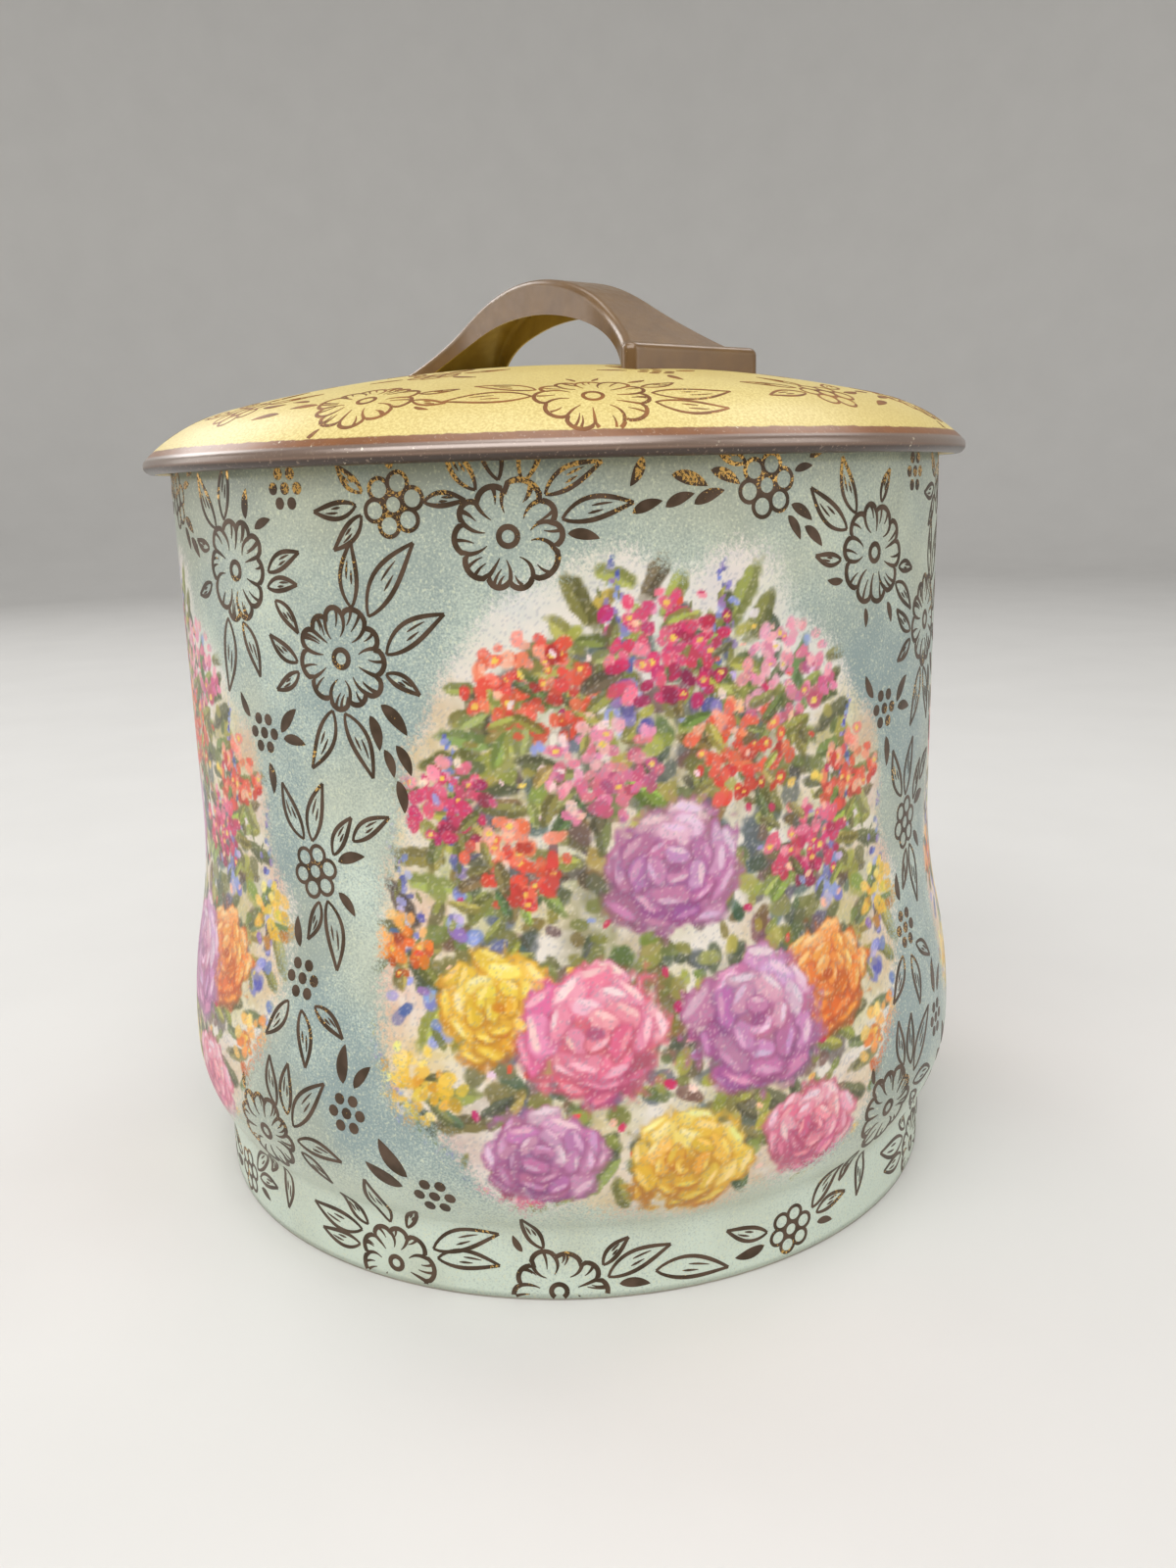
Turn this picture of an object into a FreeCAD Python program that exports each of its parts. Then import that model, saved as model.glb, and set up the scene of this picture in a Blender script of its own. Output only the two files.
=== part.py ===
"""A round pressed-tin notions box: waisted body on a foot, set-in base, domed lift-off lid with a strap handle."""

import FreeCAD
import Part
import Sketcher

import os
import re

# Driving dimensions in millimetres, with what each one measures
DIMENSIONS = [
    ("sheet_gauge", 0.3, "thickness of the tinplate"),
    ("press_gap", 0.05, "clearance between sheets that are pressed together"),
    ("edge_round", 0.25, "round on the folded edges"),
    ("hem_gap", 0.2, "space inside a folded hem"),
    ("body_radius", 70.0, "outside of the straight wall"),
    ("body_height", 131.7, "mouth above the table"),
    ("bulge_swell", 4.8, "how far the bulge stands out past the straight wall"),
    ("waist_rise", 43.0, "height from the widest ring to the straight wall"),
    ("bulge_tuck", 24.0, "bend radius under the widest ring"),
    ("foot_inset", 4.8, "how far the foot stands in from the widest ring"),
    ("foot_height", 11.8, "height of the upright foot"),
    ("crease_round", 2.5, "bend radius between foot and bulge"),
    ("foot_hem", 3.0, "height of the hem inside the foot"),
    ("mouth_hem", 4.0, "depth of the hem inside the mouth"),
    ("seam_width", 4.0, "width of the lock seam inside the wall"),
    ("seam_place", 142.0, "degrees from +X to the lock seam"),
    ("base_rise", 8.0, "height of the set-in base above the table"),
    ("base_round", 1.5, "bend radius at the edge of the base"),
    ("rim_overhang", 4.46, "how far the rolled rim stands out past the straight wall"),
    ("rim_curl", 1.4, "outer radius of the rolled rim"),
    ("shoulder_span", 14.46, "width of the lid's shoulder"),
    ("shoulder_bend", 30.0, "bend radius of the lid's shoulder"),
    ("crown_bend", 257.0, "bend radius of the lid's crown"),
    ("seat_gap", 0.05, "clearance under the closed lid"),
    ("plug_gap", 0.2, "radial clearance of the plug ring in the mouth"),
    ("plug_depth", 10.0, "depth of the plug ring"),
    ("plug_round", 0.3, "bend radius between plug ring and flange"),
    ("plug_hem", 3.0, "height of the hem inside the plug ring"),
    ("handle_gauge", 0.4, "thickness of the handle's sheet"),
    ("handle_rise", 15.3, "top of the handle above the crown"),
    ("handle_bend", 42.0, "bend radius over the handle's arch"),
    ("flank_slope", 31.0, "degrees from level to the handle's straight flanks"),
    ("landing_rise", 0.9, "flat foot of the handle above the crown"),
    ("landing_length", 2.8, "length of the handle's flat foot"),
    ("root_round", 4.0, "bend radius between flank and foot"),
    ("strap_width", 11.8, "width at the middle of the handle"),
    ("flare_start", 15.5, "from the middle of the handle to where it begins to widen"),
    ("flare_bend", 32.0, "bend radius of the handle's widening sides, seen from above"),
    ("corner_round", 1.7, "round on the corners of the handle's feet, seen from above"),
    ("handle_round", 1.3, "round on the handle's edges"),
    ("strap_depth", 6.1, "depth of the handle's turned-down sides at the middle"),
    ("arch_bend", 56.0, "bend radius of the finger gap"),
    ("tab_width", 10.0, "width of the tab at each end of the handle"),
    ("tab_leg", 6.0, "length of tab clinched under the lid"),
    ("tab_gap", 0.15, "clearance of a tab in its slot and under the lid"),
]

# Sizes and places worked out from the driving dimensions
WORKED_OUT = [
    ("bulge_radius", "body_radius + bulge_swell"),
    ("foot_radius", "bulge_radius - foot_inset"),
    ("tuck_x", "bulge_radius - bulge_tuck"),
    ("crease_reach", "bulge_tuck + crease_round"),
    ("bulge_height", "foot_height + sqrt(crease_reach^2 - (crease_reach - foot_inset)^2)"),
    ("tuck_out", "(crease_reach - foot_inset) / crease_reach"),
    ("tuck_down", "(bulge_height - foot_height) / crease_reach"),
    ("waist_height", "bulge_height + waist_rise"),
    ("swell_bend", "(waist_rise^2 + bulge_swell^2) / (4 * bulge_swell)"),
    ("swell_out", "1 - bulge_swell / (2 * swell_bend)"),
    ("swell_up", "waist_rise / (2 * swell_bend)"),
    ("swell_x", "(bulge_radius + body_radius) / 2"),
    ("swell_z", "(bulge_height + waist_height) / 2"),
    ("mouth_bore", "body_radius - 2 * sheet_gauge - hem_gap"),
    ("foot_bore", "foot_radius - 3 * sheet_gauge - 2 * press_gap"),
    ("base_radius", "foot_radius - sheet_gauge - press_gap"),
    ("base_top", "base_rise + sheet_gauge"),
    ("flange_base", "body_height + seat_gap"),
    ("rim_radius", "body_radius + rim_overhang"),
    ("curl_x", "rim_radius - rim_curl"),
    ("curl_z", "flange_base + sheet_gauge / 2"),
    ("curl_drop", "sheet_gauge / 2 + press_gap"),
    ("crown_reach", "rim_radius - shoulder_span"),
    ("crown_share", "1 - shoulder_bend / crown_bend"),
    ("crown_up", "sqrt(crown_bend^2 - crown_reach^2)"),
    ("shoulder_x", "crown_reach * crown_share"),
    ("shoulder_out", "(curl_x - shoulder_x) / (shoulder_bend - rim_curl)"),
    ("shoulder_up", "sqrt(1 - shoulder_out^2)"),
    ("shoulder_z", "curl_z - (shoulder_bend - rim_curl) * shoulder_up"),
    ("crown_z", "shoulder_z - crown_up * crown_share"),
    ("crown_top", "crown_z + crown_bend"),
    ("plug_radius", "mouth_bore - plug_gap"),
    ("plug_bore", "plug_radius - 2 * sheet_gauge - hem_gap"),
    ("plug_base", "flange_base - plug_depth"),
    ("flange_edge", "rim_radius - sheet_gauge - 2 * press_gap"),
    ("handle_top", "crown_top + handle_rise"),
    ("handle_base", "crown_top - handle_rise"),
    ("arch_z", "handle_top - handle_bend"),
    ("landing_z", "crown_top + landing_rise"),
    ("flank_x", "handle_bend * sin(flank_slope)"),
    ("flank_z", "arch_z + handle_bend * cos(flank_slope)"),
    ("root_corner", "flank_x + (flank_z - landing_z) / tan(flank_slope)"),
    ("root_x", "root_corner + root_round * tan(flank_slope / 2)"),
    ("root_z", "landing_z + root_round"),
    ("end_x", "root_x + landing_length"),
    ("corner_x", "end_x - corner_round"),
    ("flare_y", "strap_width / 2 + flare_bend"),
    ("flare_along", "(corner_x - flare_start) / (flare_bend + corner_round)"),
    ("flare_across", "sqrt(1 - flare_along^2)"),
    ("corner_y", "flare_y - (flare_bend + corner_round) * flare_across"),
    ("foot_width", "2 * (corner_y + corner_round)"),
    ("gap_z", "handle_top - strap_depth - arch_bend"),
    ("seat_bend", "crown_bend + press_gap"),
    ("under_bend", "crown_bend - sheet_gauge - tab_gap"),
]

doc = FreeCAD.newDocument("notions_box")


def make_sheet(name, rows):
    """Fill one spreadsheet with aliased cells."""
    sheet = doc.addObject("Spreadsheet::Sheet", name)
    for row, (alias, content) in enumerate(rows, start=1):
        sheet.set(f"A{row}", alias)
        sheet.set(f"B{row}", content)
        sheet.setAlias(f"B{row}", alias)
        doc.recompute()
    return sheet


SHEET_OF = {alias: "Dimensions" for alias, _, _ in DIMENSIONS}
SHEET_OF.update({alias: "Worked" for alias, _ in WORKED_OUT})


def bound(text):
    """Spell out which sheet each alias in an expression comes from."""
    return re.sub(r"[a-z_]+", lambda m: f"{SHEET_OF[m[0]]}.{m[0]}" if m[0] in SHEET_OF else m[0], text)


make_sheet("Dimensions", [(alias, str(value)) for alias, value, _ in DIMENSIONS])
worked = make_sheet("Worked", [(alias, "=" + bound(text)) for alias, text in WORKED_OUT])


def number(text):
    """The present value of an expression."""
    return float(worked.evalExpression(bound(text)))


def new_body(name):
    """An empty body with its own label."""
    body = doc.addObject("PartDesign::Body", name)
    body.Label = name
    return body


def new_sketch(body, name, role, turn="0"):
    """A sketch on one of the body's origin planes, turned about its upright axis."""
    sketch = body.newObject("Sketcher::SketchObject", name)
    plane = next(f for f in body.Origin.OriginFeatures if f.Role == role)
    sketch.AttachmentSupport = (plane, [""])
    sketch.MapMode = "FlatFace"
    upright = FreeCAD.Vector(0, 1, 0)
    sketch.AttachmentOffset = FreeCAD.Placement(FreeCAD.Vector(), FreeCAD.Rotation(upright, number(turn)))
    if turn != "0":
        sketch.setExpression("AttachmentOffset.Rotation.Angle", bound(turn))
    return sketch


def pin_point(sketch, element, x, y):
    """Hold a point of the sketch at the place that two expressions give."""
    for kind, axis, text in (("DistanceX", -2, x), ("DistanceY", -1, y)):
        value = number(text)
        if text == "0":
            sketch.addConstraint(Sketcher.Constraint("PointOnObject", *element, axis))
        elif value < 0:
            row = sketch.addConstraint(Sketcher.Constraint(kind, *element, -1, 1, -value))
            sketch.setExpression(f"Constraints[{row}]", f"-({bound(text)})")
        else:
            row = sketch.addConstraint(Sketcher.Constraint(kind, -1, 1, *element, value))
            sketch.setExpression(f"Constraints[{row}]", bound(text))


def add_arc(sketch, start, end, radius, side):
    """Add the lesser arc between two points, with its centre to the given side of the way."""
    chord = end - start
    rise = (radius**2 - chord.Length**2 / 4) ** 0.5
    across = FreeCAD.Vector(-chord.y, chord.x, 0).normalize()
    centre = (start + end) * 0.5 + across * (rise if side == "left" else -rise)
    circle = Part.Circle(centre, FreeCAD.Vector(0, 0, 1), radius)
    ends = (start, end) if side == "left" else (end, start)
    arc = Part.ArcOfCircle(circle, *(circle.parameter(p) for p in ends))
    index = sketch.addGeometry(arc)
    return index, (1, 2) if side == "left" else (2, 1)


def draw_outline(sketch, outline):
    """Draw a closed outline of lines and arcs: each entry is x, y and, for an arc that ends there, its bend."""
    places = [FreeCAD.Vector(number(entry[0]), number(entry[1]), 0) for entry in outline]
    drawn = []
    for i, place in enumerate(places):
        following = (i + 1) % len(places)
        bend = outline[following][2:]
        if bend:
            index, ends = add_arc(sketch, place, places[following], number(bend[0]), bend[1])
            row = sketch.addConstraint(Sketcher.Constraint("Radius", index, number(bend[0])))
            sketch.setExpression(f"Constraints[{row}]", bound(bend[0]))
        else:
            index = sketch.addGeometry(Part.LineSegment(place, places[following]))
            ends = (1, 2)
        drawn.append((index, ends))
    for i, (index, ends) in enumerate(drawn):
        before, before_ends = drawn[i - 1]
        sketch.addConstraint(Sketcher.Constraint("Coincident", before, before_ends[1], index, ends[0]))
        pin_point(sketch, (index, ends[0]), *outline[i][:2])


def draw_circle(sketch, x, y, radius):
    """Draw one circle with its centre and radius held by expressions."""
    centre = FreeCAD.Vector(number(x), number(y), 0)
    index = sketch.addGeometry(Part.Circle(centre, FreeCAD.Vector(0, 0, 1), number(radius)))
    row = sketch.addConstraint(Sketcher.Constraint("Radius", index, number(radius)))
    sketch.setExpression(f"Constraints[{row}]", bound(radius))
    pin_point(sketch, (index, 3), x, y)


def revolve(body, name, outline, kind="PartDesign::Revolution", angle="360", turn="0"):
    """Turn an outline of radius and height about the upright axis."""
    sketch = new_sketch(body, name + "_section", "XZ_Plane", turn)
    draw_outline(sketch, outline)
    feature = body.newObject(kind, name)
    feature.Profile = sketch
    feature.ReferenceAxis = (sketch, ["V_Axis"])
    feature.setExpression("Angle", bound(angle))
    doc.recompute()
    return feature


def pad_both_ways(body, name, outline, width):
    """Thicken a side outline equally to both sides of the XZ plane."""
    sketch = new_sketch(body, name + "_side", "XZ_Plane")
    draw_outline(sketch, outline)
    feature = body.newObject("PartDesign::Pad", name)
    feature.Profile = sketch
    feature.SideType = "Symmetric"
    feature.setExpression("Length", bound(width))
    doc.recompute()
    return feature


def pocket_through(body, name, sketch):
    """Cut a sketch right through the body, to both sides of its plane."""
    feature = body.newObject("PartDesign::Pocket", name)
    feature.Profile = sketch
    feature.SideType = "Two sides"
    feature.Type = "ThroughAll"
    feature.Type2 = "ThroughAll"
    doc.recompute()
    return feature


def wall_upward(depth):
    """The wall's bends from foot to straight wall, on the surface that lies depth inside its outer face."""
    return [
        (f"foot_radius - {depth}", "foot_height"),
        (
            f"tuck_x + (bulge_tuck - {depth}) * tuck_out",
            f"bulge_height - (bulge_tuck - {depth}) * tuck_down",
            f"crease_round + {depth}",
            "right",
        ),
        (f"bulge_radius - {depth}", "bulge_height", f"bulge_tuck - {depth}", "left"),
        (f"swell_x - {depth} * swell_out", f"swell_z - {depth} * swell_up", f"swell_bend - {depth}", "left"),
        (f"body_radius - {depth}", "waist_height", f"swell_bend + {depth}", "right"),
    ]


def reversed_way(outline):
    """The same lines and arcs, drawn from their last point to their first."""
    other_side = {"left": "right", "right": "left"}
    backward = [outline[-1][:2]]
    for entry, before in zip(reversed(outline), reversed(outline[:-1])):
        bend = (entry[2], other_side[entry[3]]) if len(entry) > 2 else ()
        backward.append((*before[:2], *bend))
    return backward


def make_body_wall():
    """The rolled wall with a hem at mouth and foot, and its lock seam down the inside of the back."""
    body = new_body("body_wall")
    outline = [
        ("foot_radius - edge_round", "0"),
        ("foot_radius", "edge_round", "edge_round", "left"),
        *wall_upward("0"),
        ("body_radius", "body_height - edge_round"),
        ("body_radius - edge_round", "body_height", "edge_round", "left"),
        ("mouth_bore + edge_round", "body_height"),
        ("mouth_bore", "body_height - edge_round", "edge_round", "left"),
        ("mouth_bore", "body_height - mouth_hem"),
        ("mouth_bore + sheet_gauge", "body_height - mouth_hem"),
        ("mouth_bore + sheet_gauge", "body_height - sheet_gauge"),
        ("body_radius - sheet_gauge", "body_height - sheet_gauge"),
        *reversed_way(wall_upward("sheet_gauge")),
        ("foot_radius - sheet_gauge", "sheet_gauge"),
        ("foot_bore + sheet_gauge", "sheet_gauge"),
        ("foot_bore + sheet_gauge", "foot_hem"),
        ("foot_bore", "foot_hem"),
        ("foot_bore", "edge_round"),
        ("foot_bore + edge_round", "0", "edge_round", "left"),
    ]
    revolve(body, "rolled_wall", outline)
    seam_top = "body_height - mouth_hem - sheet_gauge"
    outline = [
        *wall_upward("sheet_gauge / 2"),
        ("body_radius - sheet_gauge / 2", seam_top),
        ("body_radius - 2.5 * sheet_gauge", seam_top),
        *reversed_way(wall_upward("2.5 * sheet_gauge")),
    ]
    revolve(body, "lock_seam", outline, angle="seam_width / body_radius * 180 / pi", turn="seam_place")
    return body


def make_base_plate():
    """The set-in base, whose flange stands in the hem of the foot."""
    body = new_body("base_plate")
    inner = "base_radius - sheet_gauge"
    outline = [
        ("0", "base_rise"),
        ("base_radius - base_round", "base_rise"),
        (inner, "base_top - base_round", "base_round - sheet_gauge", "right"),
        (inner, "sheet_gauge + press_gap"),
        ("base_radius", "sheet_gauge + press_gap"),
        ("base_radius", "base_top - base_round"),
        ("base_radius - base_round", "base_top", "base_round", "left"),
        ("0", "base_top"),
    ]
    revolve(body, "pressed_base", outline)
    return body


def dome_upward(depth):
    """The lid's bends from the end of the rolled rim to the crown, on the surface that lies depth inside."""
    curl = f"(rim_curl - {depth})"
    shoulder = f"(shoulder_bend - {depth})"
    crown = f"(crown_bend - {depth})"
    return [
        (f"curl_x - sqrt({curl}^2 - curl_drop^2)", "curl_z - curl_drop"),
        ("curl_x", f"curl_z - {curl}", curl, "left"),
        (f"curl_x + {curl} * shoulder_out", f"curl_z + {curl} * shoulder_up", curl, "left"),
        (f"{crown} * crown_reach / crown_bend", f"crown_z + {crown} * crown_up / crown_bend", shoulder, "left"),
        ("0", f"crown_z + {crown}", crown, "left"),
    ]


def make_lid_dome():
    """The domed lid with its rolled rim, and a slot for each tab of the handle."""
    body = new_body("lid_dome")
    revolve(body, "pressed_dome", [*dome_upward("0"), *reversed_way(dome_upward("sheet_gauge"))])
    slots = new_sketch(body, "tab_slots_plan", "XY_Plane")
    half = "(tab_width / 2 + tab_gap)"
    for outer, inner in (
        ("end_x + tab_gap", "end_x - handle_gauge - tab_gap"),
        ("handle_gauge + tab_gap - end_x", "-(end_x + tab_gap)"),
    ):
        draw_outline(slots, [(inner, f"-{half}"), (outer, f"-{half}"), (outer, half), (inner, half)])
    pocket_through(body, "tab_slots", slots)
    return body


def make_lid_collar():
    """The plug ring that centres the lid in the mouth; the rolled rim grips its flange."""
    body = new_body("lid_collar")
    inner = "plug_radius - sheet_gauge"
    outline = [
        ("plug_radius - edge_round", "plug_base"),
        ("plug_radius", "plug_base + edge_round", "edge_round", "left"),
        ("plug_radius", "flange_base - plug_round"),
        ("plug_radius + plug_round", "flange_base", "plug_round", "right"),
        ("flange_edge", "flange_base"),
        ("flange_edge", "flange_base + sheet_gauge"),
        ("plug_radius + plug_round", "flange_base + sheet_gauge"),
        (inner, "flange_base - plug_round", "plug_round + sheet_gauge", "left"),
        (inner, "plug_base + sheet_gauge"),
        ("plug_bore + sheet_gauge", "plug_base + sheet_gauge"),
        ("plug_bore + sheet_gauge", "plug_base + plug_hem"),
        ("plug_bore", "plug_base + plug_hem"),
        ("plug_bore", "plug_base + edge_round"),
        ("plug_bore + edge_round", "plug_base", "edge_round", "left"),
    ]
    revolve(body, "plug_ring", outline)
    return body


def handle_side(depth):
    """The handle's side outline, down to its feet, on the surface that lies depth inside its outer face."""
    end = f"(end_x - {depth})"
    arch = f"(handle_bend - {depth})"
    root = f"(root_round + {depth})"
    arch_place = (f"{arch} * sin(flank_slope)", f"arch_z + {arch} * cos(flank_slope)")
    root_place = (f"(root_x - {root} * sin(flank_slope))", f"root_z - {root} * cos(flank_slope)")
    return [
        (f"-{end}", f"handle_base - {depth}"),
        (end, f"handle_base - {depth}"),
        (end, f"landing_z - {depth}"),
        ("root_x", f"landing_z - {depth}"),
        (*root_place, root, "right"),
        arch_place,
        (f"-{arch_place[0]}", arch_place[1], arch, "left"),
        (f"-{root_place[0]}", root_place[1]),
        ("-root_x", f"landing_z - {depth}", root, "right"),
        (f"-{end}", f"landing_z - {depth}"),
    ]


def handle_plan(depth):
    """The handle's outline seen from above, on the surface that lies depth inside its outer face."""
    end = f"(end_x - {depth})"
    corner = f"(corner_round - {depth})"
    flare = f"(flare_bend + {depth})"
    half = f"(flare_y - {flare})"
    bend_x = f"(flare_start + {flare} * flare_along)"
    bend_y = f"(flare_y - {flare} * flare_across)"
    return [
        (end, "-corner_y", corner, "left"),
        (end, "corner_y"),
        (bend_x, bend_y, corner, "left"),
        ("flare_start", half, flare, "right"),
        ("-flare_start", half),
        (f"-{bend_x}", bend_y, flare, "right"),
        (f"-{end}", "corner_y", corner, "left"),
        (f"-{end}", "-corner_y"),
        (f"-{bend_x}", f"-{bend_y}", corner, "left"),
        ("-flare_start", f"-{half}", flare, "right"),
        ("flare_start", f"-{half}"),
        (bend_x, f"-{bend_y}", flare, "right"),
    ]


def make_handle_form(body, name, depth):
    """The handle's filled form: straight flanks, a narrow top and wide feet."""
    pad_both_ways(body, f"{name}_arch", handle_side(depth), "2 * foot_width")
    around = new_sketch(body, f"{name}_plan", "XY_Plane")
    far = "(end_x + foot_width)"
    draw_outline(around, [(f"-{far}", f"-{far}"), (far, f"-{far}"), (far, far), (f"-{far}", far)])
    draw_outline(around, handle_plan(depth))
    return pocket_through(body, f"{name}_flare", around)


def rim_edges(shape, form, inside):
    """Names of the edges round the top of the hollow handle, on its inside or its outside."""
    gauge = number("handle_gauge")
    gap_centre = FreeCAD.Vector(0, 0, number("gap_z"))
    lid_centre = FreeCAD.Vector(0, 0, number("crown_z"))
    names = []
    for i, edge in enumerate(shape.Edges, start=1):
        box = edge.BoundBox
        middle = edge.valueAt((edge.FirstParameter + edge.LastParameter) / 2)
        is_inside = form.Shells[0].distToShape(Part.Vertex(middle))[0] > gauge / 2
        above_gap = (FreeCAD.Vector(middle.x, 0, middle.z) - gap_centre).Length - number("arch_bend")
        above_lid = (middle - lid_centre).Length - number("seat_bend")
        wall = abs(middle.y) > number("strap_width") / 2 - 1.5 * gauge
        end = abs(middle.x) > number("end_x") - 1.5 * gauge
        is_level = max(box.XLength, box.YLength) > gauge and (wall or end)
        if is_level and is_inside == inside and min(above_gap, above_lid) > 3 * gauge:
            names.append(f"Edge{i}")
    return names


def round_rim(body, name, base, form, inside, radius):
    """Round the edges round the top of the hollow handle, on its inside or its outside."""
    feature = body.newObject("PartDesign::Fillet", name)
    feature.Base = (base, rim_edges(base.Shape, form, inside))
    feature.setExpression("Radius", bound(radius))
    doc.recompute()
    return feature


def make_handle_tab(body, name, sign):
    """One tab, which goes through the lid and is clinched under it, towards the middle."""
    inward = "-" if sign == "+" else "+"
    face = f"({sign}end_x)"
    back = f"({face} {inward} handle_gauge)"
    tip = f"({face} {inward} tab_leg)"
    top = "landing_z - handle_round"
    outline = [
        (face, top),
        (face, f"crown_z + sqrt(under_bend^2 - {face}^2) - handle_gauge"),
        (tip, f"crown_z + sqrt(under_bend^2 - {tip}^2) - handle_gauge"),
        (tip, f"crown_z + sqrt(under_bend^2 - {tip}^2)"),
        (back, f"crown_z + sqrt(under_bend^2 - {back}^2)"),
        (back, top),
    ]
    return pad_both_ways(body, name, outline, "tab_width")


def make_lid_handle():
    """The hollow strap handle, open below, with a tab at each end that goes through the lid."""
    body = new_body("lid_handle")
    form = make_handle_form(body, "handle", "0").Shape
    core = new_body("handle_core")
    make_handle_form(core, "core", "handle_gauge")
    hollow = body.newObject("PartDesign::Boolean", "handle_hollow")
    hollow.Type = "Cut"
    hollow.setObjects([core])
    doc.recompute()
    gap = new_sketch(body, "finger_gap_side", "XZ_Plane")
    draw_circle(gap, "0", "gap_z", "arch_bend")
    pocket_through(body, "finger_gap", gap)
    lid_space = [
        ("0", "handle_base - handle_rise"),
        ("crown_reach", "handle_base - handle_rise"),
        ("crown_reach", "crown_z + sqrt(seat_bend^2 - crown_reach^2)"),
        ("0", "crown_z + seat_bend", "seat_bend", "left"),
    ]
    revolve(body, "lid_seat", lid_space, kind="PartDesign::Groove")
    make_handle_tab(body, "right_tab", "+")
    tabbed = make_handle_tab(body, "left_tab", "-")
    inner = round_rim(body, "inner_rim", tabbed, form, True, "handle_round - handle_gauge")
    round_rim(body, "outer_rim", inner, form, False, "handle_round")
    return body


pieces = [make_body_wall(), make_base_plate(), make_lid_dome(), make_lid_collar(), make_lid_handle()]
doc.recompute()

for item in doc.Objects:
    if "Invalid" in item.State or "Error" in item.State:
        raise RuntimeError(f"{item.Label} failed: {item.State}")
for piece in pieces:
    if piece.Shape.isNull() or not piece.Shape.isValid() or len(piece.Shape.Solids) != 1:
        raise RuntimeError(f"{piece.Label} is not one sound solid")

os.makedirs("parts", exist_ok=True)
for piece in pieces:
    piece.Shape.exportStep(f"parts/{piece.Label}.step")
    print(f"{piece.Label}: {piece.Shape.Volume:.1f} mm3, {piece.Shape.Area:.0f} mm2")
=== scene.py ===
"""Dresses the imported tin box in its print, lacquer and bare tinplate, with floor, light and camera."""

import math

import bmesh
import bpy
import numpy as np
from mathutils import Matrix, Vector


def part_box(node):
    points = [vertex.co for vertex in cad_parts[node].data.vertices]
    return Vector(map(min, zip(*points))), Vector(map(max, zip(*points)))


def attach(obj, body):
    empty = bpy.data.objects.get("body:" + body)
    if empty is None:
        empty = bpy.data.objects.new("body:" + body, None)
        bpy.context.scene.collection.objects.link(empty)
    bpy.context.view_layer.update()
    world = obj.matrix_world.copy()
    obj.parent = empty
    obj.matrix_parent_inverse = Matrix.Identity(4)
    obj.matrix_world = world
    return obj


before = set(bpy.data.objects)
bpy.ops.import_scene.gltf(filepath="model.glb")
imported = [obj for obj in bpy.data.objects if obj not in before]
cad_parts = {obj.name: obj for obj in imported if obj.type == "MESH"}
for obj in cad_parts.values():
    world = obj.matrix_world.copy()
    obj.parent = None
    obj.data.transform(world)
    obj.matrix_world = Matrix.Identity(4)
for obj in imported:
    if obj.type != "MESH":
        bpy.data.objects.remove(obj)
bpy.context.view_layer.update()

# Sizes in millimetres, the same as those of the solids
MM = 0.001
BODY_RADIUS = 70.0
BODY_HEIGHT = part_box("body_wall")[1][2] / MM
BULGE_SWELL = 4.8
WAIST_RISE = 43.0
BULGE_TUCK = 24.0
FOOT_INSET = 4.8
FOOT_HEIGHT = 11.8
CREASE_ROUND = 2.5
RIM_OVERHANG = 4.46
RIM_CURL = 1.4
SHOULDER_SPAN = 14.46
SHOULDER_BEND = 30.0
CROWN_BEND = 257.0
FLANGE_MIDDLE = 0.2

# Heights and radii where the wall's bends meet
CREASE_REACH = BULGE_TUCK + CREASE_ROUND
FOOT_RADIUS = BODY_RADIUS + BULGE_SWELL - FOOT_INSET
BULGE_HEIGHT = FOOT_HEIGHT + math.sqrt(CREASE_REACH**2 - (CREASE_REACH - FOOT_INSET) ** 2)
TUCK_HEIGHT = BULGE_HEIGHT - BULGE_TUCK * (BULGE_HEIGHT - FOOT_HEIGHT) / CREASE_REACH
WAIST_HEIGHT = BULGE_HEIGHT + WAIST_RISE
SWELL_BEND = (WAIST_RISE**2 + BULGE_SWELL**2) / (4 * BULGE_SWELL)

# Centres of the lid's bends, and the turns from upright where they end
RIM_RADIUS = BODY_RADIUS + RIM_OVERHANG
CURL_X = RIM_RADIUS - RIM_CURL
CURL_Z = BODY_HEIGHT + FLANGE_MIDDLE
CROWN_REACH = RIM_RADIUS - SHOULDER_SPAN
CROWN_SHARE = 1 - SHOULDER_BEND / CROWN_BEND
SHOULDER_X = CROWN_REACH * CROWN_SHARE
SHOULDER_TURN = math.asin((CURL_X - SHOULDER_X) / (SHOULDER_BEND - RIM_CURL))
SHOULDER_Z = CURL_Z - (SHOULDER_BEND - RIM_CURL) * math.cos(SHOULDER_TURN)
CROWN_Z = SHOULDER_Z - CROWN_SHARE * math.sqrt(CROWN_BEND**2 - CROWN_REACH**2)
CROWN_TURN = math.asin(CROWN_REACH / CROWN_BEND)
CURL_TURN = math.radians(230)

# The photograph's camera: place in millimetres with the lens turned towards +Y, angles in degrees
CAMERA_PLACE = Vector((-1.0, -251.25, 127.4))
CAMERA_YAW = 1.2
CAMERA_PITCH = 13.24
CAMERA_ROLL = 1.6
CAMERA_LENS = 29.5
SENSOR_HEIGHT = 36.0
HANDLE_TURN = 53.5
TO_PHOTO = Matrix.Rotation(math.radians(HANDLE_TURN), 4, "Z")
FRONT = math.radians(HANDLE_TURN - 90)

# The print's films, in millimetres: lifts off the metal, the fill of the crease, and bare strips at edges
GROUND_FILM = (0.006, 0.03)
PICTURE_FILM = 0.045
INK_FILM = (0.02, 0.075)
CREASE_FILL = 0.13
CREASE_SPREAD = 0.7
GROUND_MARGIN = 0.4
INK_MARGIN = 0.6

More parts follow.
